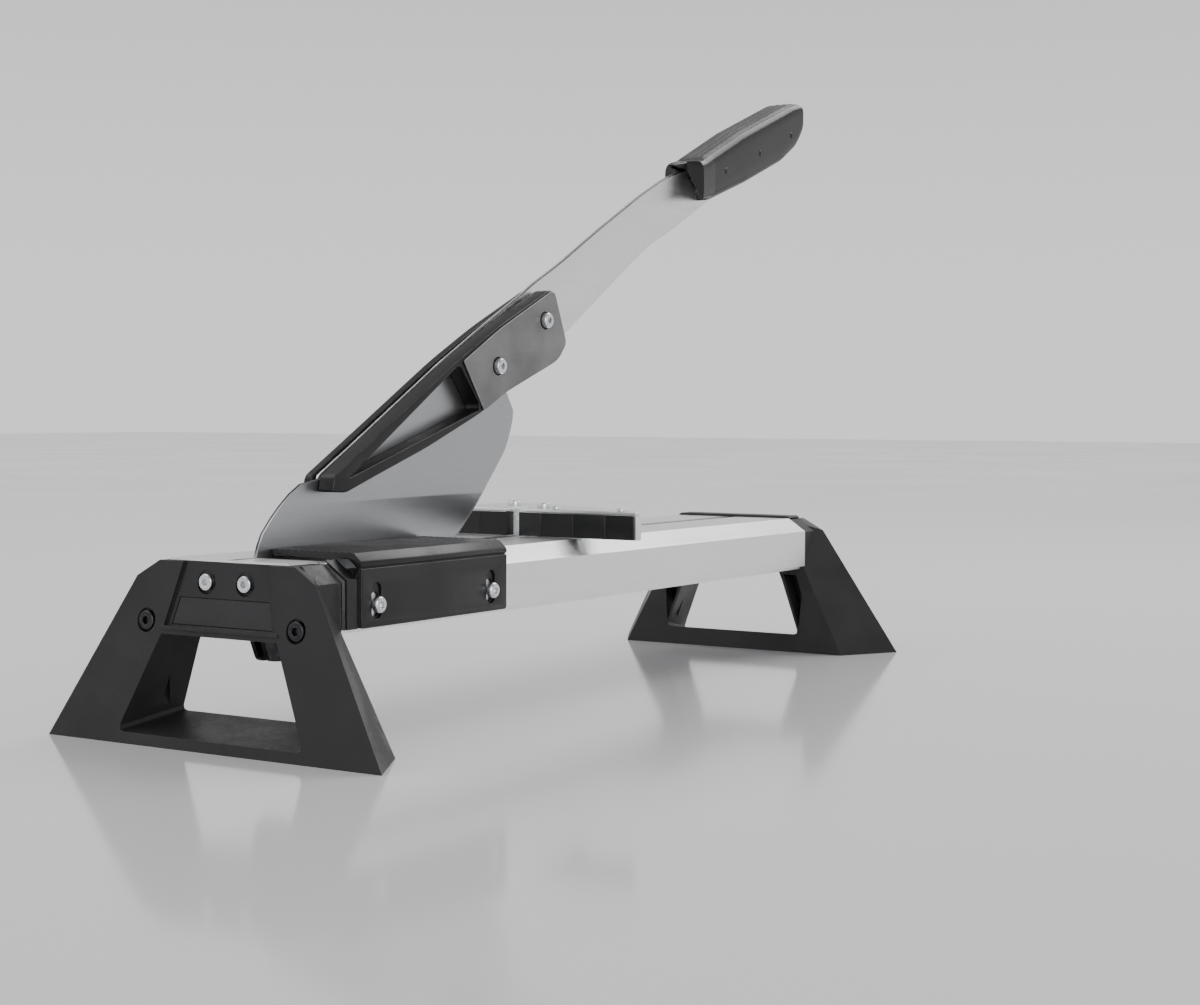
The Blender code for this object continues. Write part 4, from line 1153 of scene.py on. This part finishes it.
    def _grip(self) -> None:
        """A strip along the top whose section has rounded lengthwise ridges: a power of a sine."""
        low, high = box_ends("handle_top_grip")
        x = np.linspace(*self.strip_x, 90)
        upper = np.column_stack([x, self._softened(self.over, x, 16)])
        count = 121
        across = np.linspace(-1, 1, count)
        half = (high[1] - low[1]) / 2 * self.strip_width
        ridge = 0.5 - 0.5 * np.cos(2 * np.pi * self.ridges * (across + 1) / 2)
        crown = np.clip(1 - np.abs(across) ** 8, 0, 1)
        rise = (self.strip_rise + self.ridge_rise * ridge) * crown
        top = np.column_stack([across * half, rise - 0.0012 * np.abs(across) ** 6])
        bottom = np.column_stack([across[::-1] * half * 0.98, np.full(count, -0.0030)])
        section = np.concatenate([top, bottom])
        fade = np.clip(np.minimum(x - x[0], x[-1] - x) / 0.005, 0, 1) ** 0.5
        sections = np.repeat(section[None], len(x), axis=0)
        sections[:, :count, 1] = sections[:, :count, 1] * fade[:, None] - 0.0012 * (1 - fade[:, None])
        along = np.gradient(upper, axis=0)
        along = along / np.linalg.norm(along, axis=1)[:, None]
        up = np.column_stack([-along[:, 1], np.zeros(len(x)), along[:, 0]])
        path = np.column_stack([upper[:, 0], np.full(len(x), (low[1] + high[1]) / 2), upper[:, 1]])
        edge_mark = np.zeros(sections.shape[:2])
        piece = swept_piece("handle_ridged_top", sections, path, np.array([0.0, 1.0, 0.0]), up, edge_mark)
        SHOP.dress(piece, "grip", "lever", ["handle_top_grip"])

    def _rivet(self, number: int, place: Point, near_y: float) -> None:
        """A rivet with a low dome that stands a little proud of the handle's side."""
        node = f"handle_rivet_{number}"
        low, high = box_ends(node)
        rows = [(0, 0.0010, 0, 0), (0.0012, 0.0009, 0, 0.2), (0.0024, 0.0006, 0, 0.6),
                (0.0031, 0.0001, 0, 0.9), (0.0034, -0.0006, 0, 0.4), (0.0034, -0.0060, 0, 0),
                (0.0025, -0.0060, 0, 0),
                (0.0025, low[1] - high[1] + 0.002, 0, 0), (0, low[1] - high[1] + 0.002, 0, 0)]
        centre = (place[0], near_y + 0.0005, place[1])
        piece = turned_piece(f"{node}_detail", rows, centre, (0, -1, 0), 36)
        SHOP.dress(piece, "black_steel", "lever", [node])


# ---- fence -------------------------------------------------------------------------------

SCREW_BORE = 0.0022


@dataclass
class Fence:
    """The squaring fence: aluminium bars behind ribbed black faces, under a sheet top plate."""

    front_x: float = 0.3498
    bar: float = 0.0078
    wrap: float = 0.0021
    ribs: dict[str, tuple[float, ...]] = field(default_factory=lambda: {
        "near": (-0.0908, -0.0590, -0.0265), "far": (0.0370,)})
    pivot: Point = (0.3744, -0.0133)
    lock: Point = (0.4000, 0.0350)
    screw_y: tuple[float, ...] = (-0.1050, -0.0400, 0.0500)
    slot_turn: float = math.radians(6)
    slot_tip: float = math.radians(9.4)
    slot_half: float = 0.0036

    def build(self) -> None:
        """Makes the bars, faces, plate and fasteners."""
        for where, ribs in self.ribs.items():
            self._bar(where)
            self._face(where, ribs)
        self._plate()
        for number in (1, 2, 3):
            Screw(f"fence_screw_{number}", 2, 1, 0.0038, 0.0022, 0.0019, "zinc", "fence",
                  "zinc_fasteners").build()
        for word in ("pivot", "lock"):
            Screw(f"fence_{word}_bolt", 2, 1, 0.0060, 0.0036, 0.0030, "zinc", "base",
                  "zinc_fasteners").build()

    def _screw_places(self) -> list[Point]:
        """The plate screws' places, on the bars' middle line."""
        return [(self.front_x + self.bar / 2, y) for y in self.screw_y]

    def _slot(self) -> Array:
        """The lock slot: two arcs about the pivot, closed by a point at each end."""
        arm = np.subtract(self.lock, self.pivot)
        middle = math.atan2(arm[1], arm[0])
        distance = np.hypot(*arm)

        def arc(turn: Array, radius: float) -> Array:
            """Points on a circle about the pivot, at turns from the middle line."""
            return np.column_stack([np.cos(middle + turn), np.sin(middle + turn)]) * radius + self.pivot

        turn = np.linspace(-1, 1, 13) * self.slot_turn
        tip = np.array([self.slot_tip])
        return np.concatenate([arc(turn, distance + self.slot_half), arc(tip, distance),
                               arc(-turn, distance - self.slot_half), arc(-tip, distance)])

    def _bar(self, where: str) -> None:
        """A square bar with broken arrises, bored for the plate's screws."""
        node = f"fence_bar_{where}"
        low, high = box_ends(node)
        loop = rounded_loop([(low[0], low[1]), (high[0], low[1]), (high[0], high[1]), (low[0], high[1])],
                            0.0006)
        bores = [ring(place, SCREW_BORE, 24) for place in self._screw_places()
                 if low[1] < place[1] < high[1]]
        piece = slab(node, f"{node}_sawn", Across.Z, [loop] + bores, 0.0005)
        SHOP.dress(piece, "bar", "fence", [node])

    def _face(self, where: str, ribs: Sequence[float]) -> None:
        """A black facing with upright ribs towards the work, turned round the bar's end at the blade gap."""
        node = f"fence_face_{where}"
        low, high = box_ends(node)
        back, front, proud, end = self.front_x - 0.0003, self.front_x - 0.0020, low[0], high[0]
        if where == "near":
            corners = [(back, low[1]), (back, high[1] - self.wrap), (end, high[1] - self.wrap),
                       (end, high[1])]
        else:
            corners = [(end, low[1]), (end, low[1] + self.wrap), (back, low[1] + self.wrap),
                       (back, high[1])]
        corners.append((front, high[1]))
        for y in sorted(ribs, reverse=True):
            corners += [(front, y + 0.0019), (proud, y + 0.0013), (proud, y - 0.0013), (front, y - 0.0019)]
        corners.append((front, low[1]))
        piece = slab(node, f"{node}_ribbed", Across.Z, [rounded_loop(corners, 0.0004, 4)], 0.0003, 2)
        SHOP.dress(piece, "casting", "fence", [node])

    def _plate(self) -> None:
        """The top plate: a blade gap open to the front, a curved lock slot and screw holes."""
        gap = [(0.3498, -0.0055), (0.3760, -0.0055), (0.3825, -0.0020), (0.3825, 0.0030), (0.3760, 0.0065),
               (0.3498, 0.0065)]
        rest = [(0.3498, 0.0700), (0.4400, 0.0700), (0.4430, 0.0600), (0.4290, 0.0200), (0.3960, -0.0650),
                (self.front_x + self.bar, -0.1220), (0.3498, -0.1220)]
        reach = [0.0006, 0.003, 0.003, 0.003, 0.003, 0.0006, 0.003, 0.004, 0.010, 0.02, 0.02, 0.002, 0.002]
        loop = rounded_loop(gap + rest, reach)
        holes = [ring(self.pivot, 0.0034, 30), self._slot()]
        holes += [ring(place, SCREW_BORE, 24) for place in self._screw_places()]
        piece = slab("fence_plate", "fence_top_plate", Across.Z, [loop] + holes, 0.0005)
        SHOP.dress(piece, "sheet", "fence", ["fence_plate"])


# ---- studio ------------------------------------------------------------------------------

@dataclass
class Studio:
    """A pale floor, soft lights and the camera."""

    camera_place: Point = (-1.0731, -0.9933, 0.2420)
    yaw: float = math.radians(32.52)
    pitch: float = math.radians(-2.633)
    roll: float = math.radians(-0.127)
    lens: float = 60.94
    floor_half: float = 14.0

    def build(self) -> None:
        """Sets the floor, the lights and the camera."""
        self._floor()
        self._light("key", (-0.6, 1.4, 2.4), (0.35, 0.0, 0.15), 2.2, 34.0)
        self._light("side", (-1.6, -2.2, 1.3), (0.3, 0.0, 0.15), 1.8, 38.0)
        self._light("rim", (2.0, -0.4, 2.1), (0.6, 0.0, 0.4), 1.6, 34.0)
        world = bpy.data.worlds.new("studio")
        world.use_nodes = True
        shade = world.node_tree.nodes["Background"]
        desk = Desk(world.node_tree)
        split = desk.add("ShaderNodeSeparateXYZ", {0: desk.add("ShaderNodeTexCoord").outputs["Generated"]})
        shade.inputs["Color"].default_value = (0.95, 0.95, 0.96, 1)
        desk.tree.links.new(desk.remap(split.outputs[2], 0.02, 0.55, 1.10, 0.42), shade.inputs["Strength"])
        bpy.context.scene.world = world
        data = bpy.data.cameras.new("camera")
        data.lens = self.lens
        data.sensor_width = 36.0
        camera = bpy.data.objects.new("camera", data)
        camera.location = self.camera_place
        camera.rotation_euler = (math.pi / 2 + self.pitch, self.roll, self.yaw - math.pi / 2)
        bpy.context.scene.collection.objects.link(camera)
        bpy.context.scene.camera = camera

    def _floor(self) -> None:
        """A large pale sheet with a slight sheen."""
        half = self.floor_half
        corners = np.array([(-half, -half, 0), (half, -half, 0), (half, half, 0), (-half, half, 0)],
                           dtype=float)
        mesh = bpy.data.meshes.new("floor")
        mesh.from_pydata(corners.tolist(), [], [[0, 1, 2, 3]])
        floor = bpy.data.objects.new("floor", mesh)
        bpy.context.scene.collection.objects.link(floor)
        made, desk, shader, place = start_material("pale_floor")
        shader.inputs["Base Color"].default_value = (0.74, 0.74, 0.75, 1)
        cloud = desk.add("ShaderNodeTexNoise", {"Vector": place, "Scale": 1.5, "Detail": 3.0}).outputs["Fac"]
        desk.tree.links.new(desk.remap(cloud, 0.3, 0.7, 0.09, 0.12), shader.inputs["Roughness"])
        mesh.materials.append(made)

    def _light(self, name: str, place: Point, target: Point, size: float, power: float) -> None:
        """A square area light that faces a target."""
        data = bpy.data.lights.new(name, "AREA")
        data.size = size
        data.energy = power
        lamp = bpy.data.objects.new(name, data)
        lamp.location = place
        lamp.rotation_euler = (Vector(target) - Vector(place)).to_track_quat("-Z", "Y").to_euler()
        bpy.context.scene.collection.objects.link(lamp)


def main() -> None:
    """Builds the cutter's sub-assemblies in order, and then the studio."""
    logging.basicConfig(level=logging.INFO, format="%(message)s")
    for part in (Foot(End.FRONT), Foot(End.REAR), Table(), Support(), Lever(), Handle(), Fence(), Studio()):
        part.build()
        log.info("%s done", type(part).__name__)


if __name__ == "__main__":
    main()
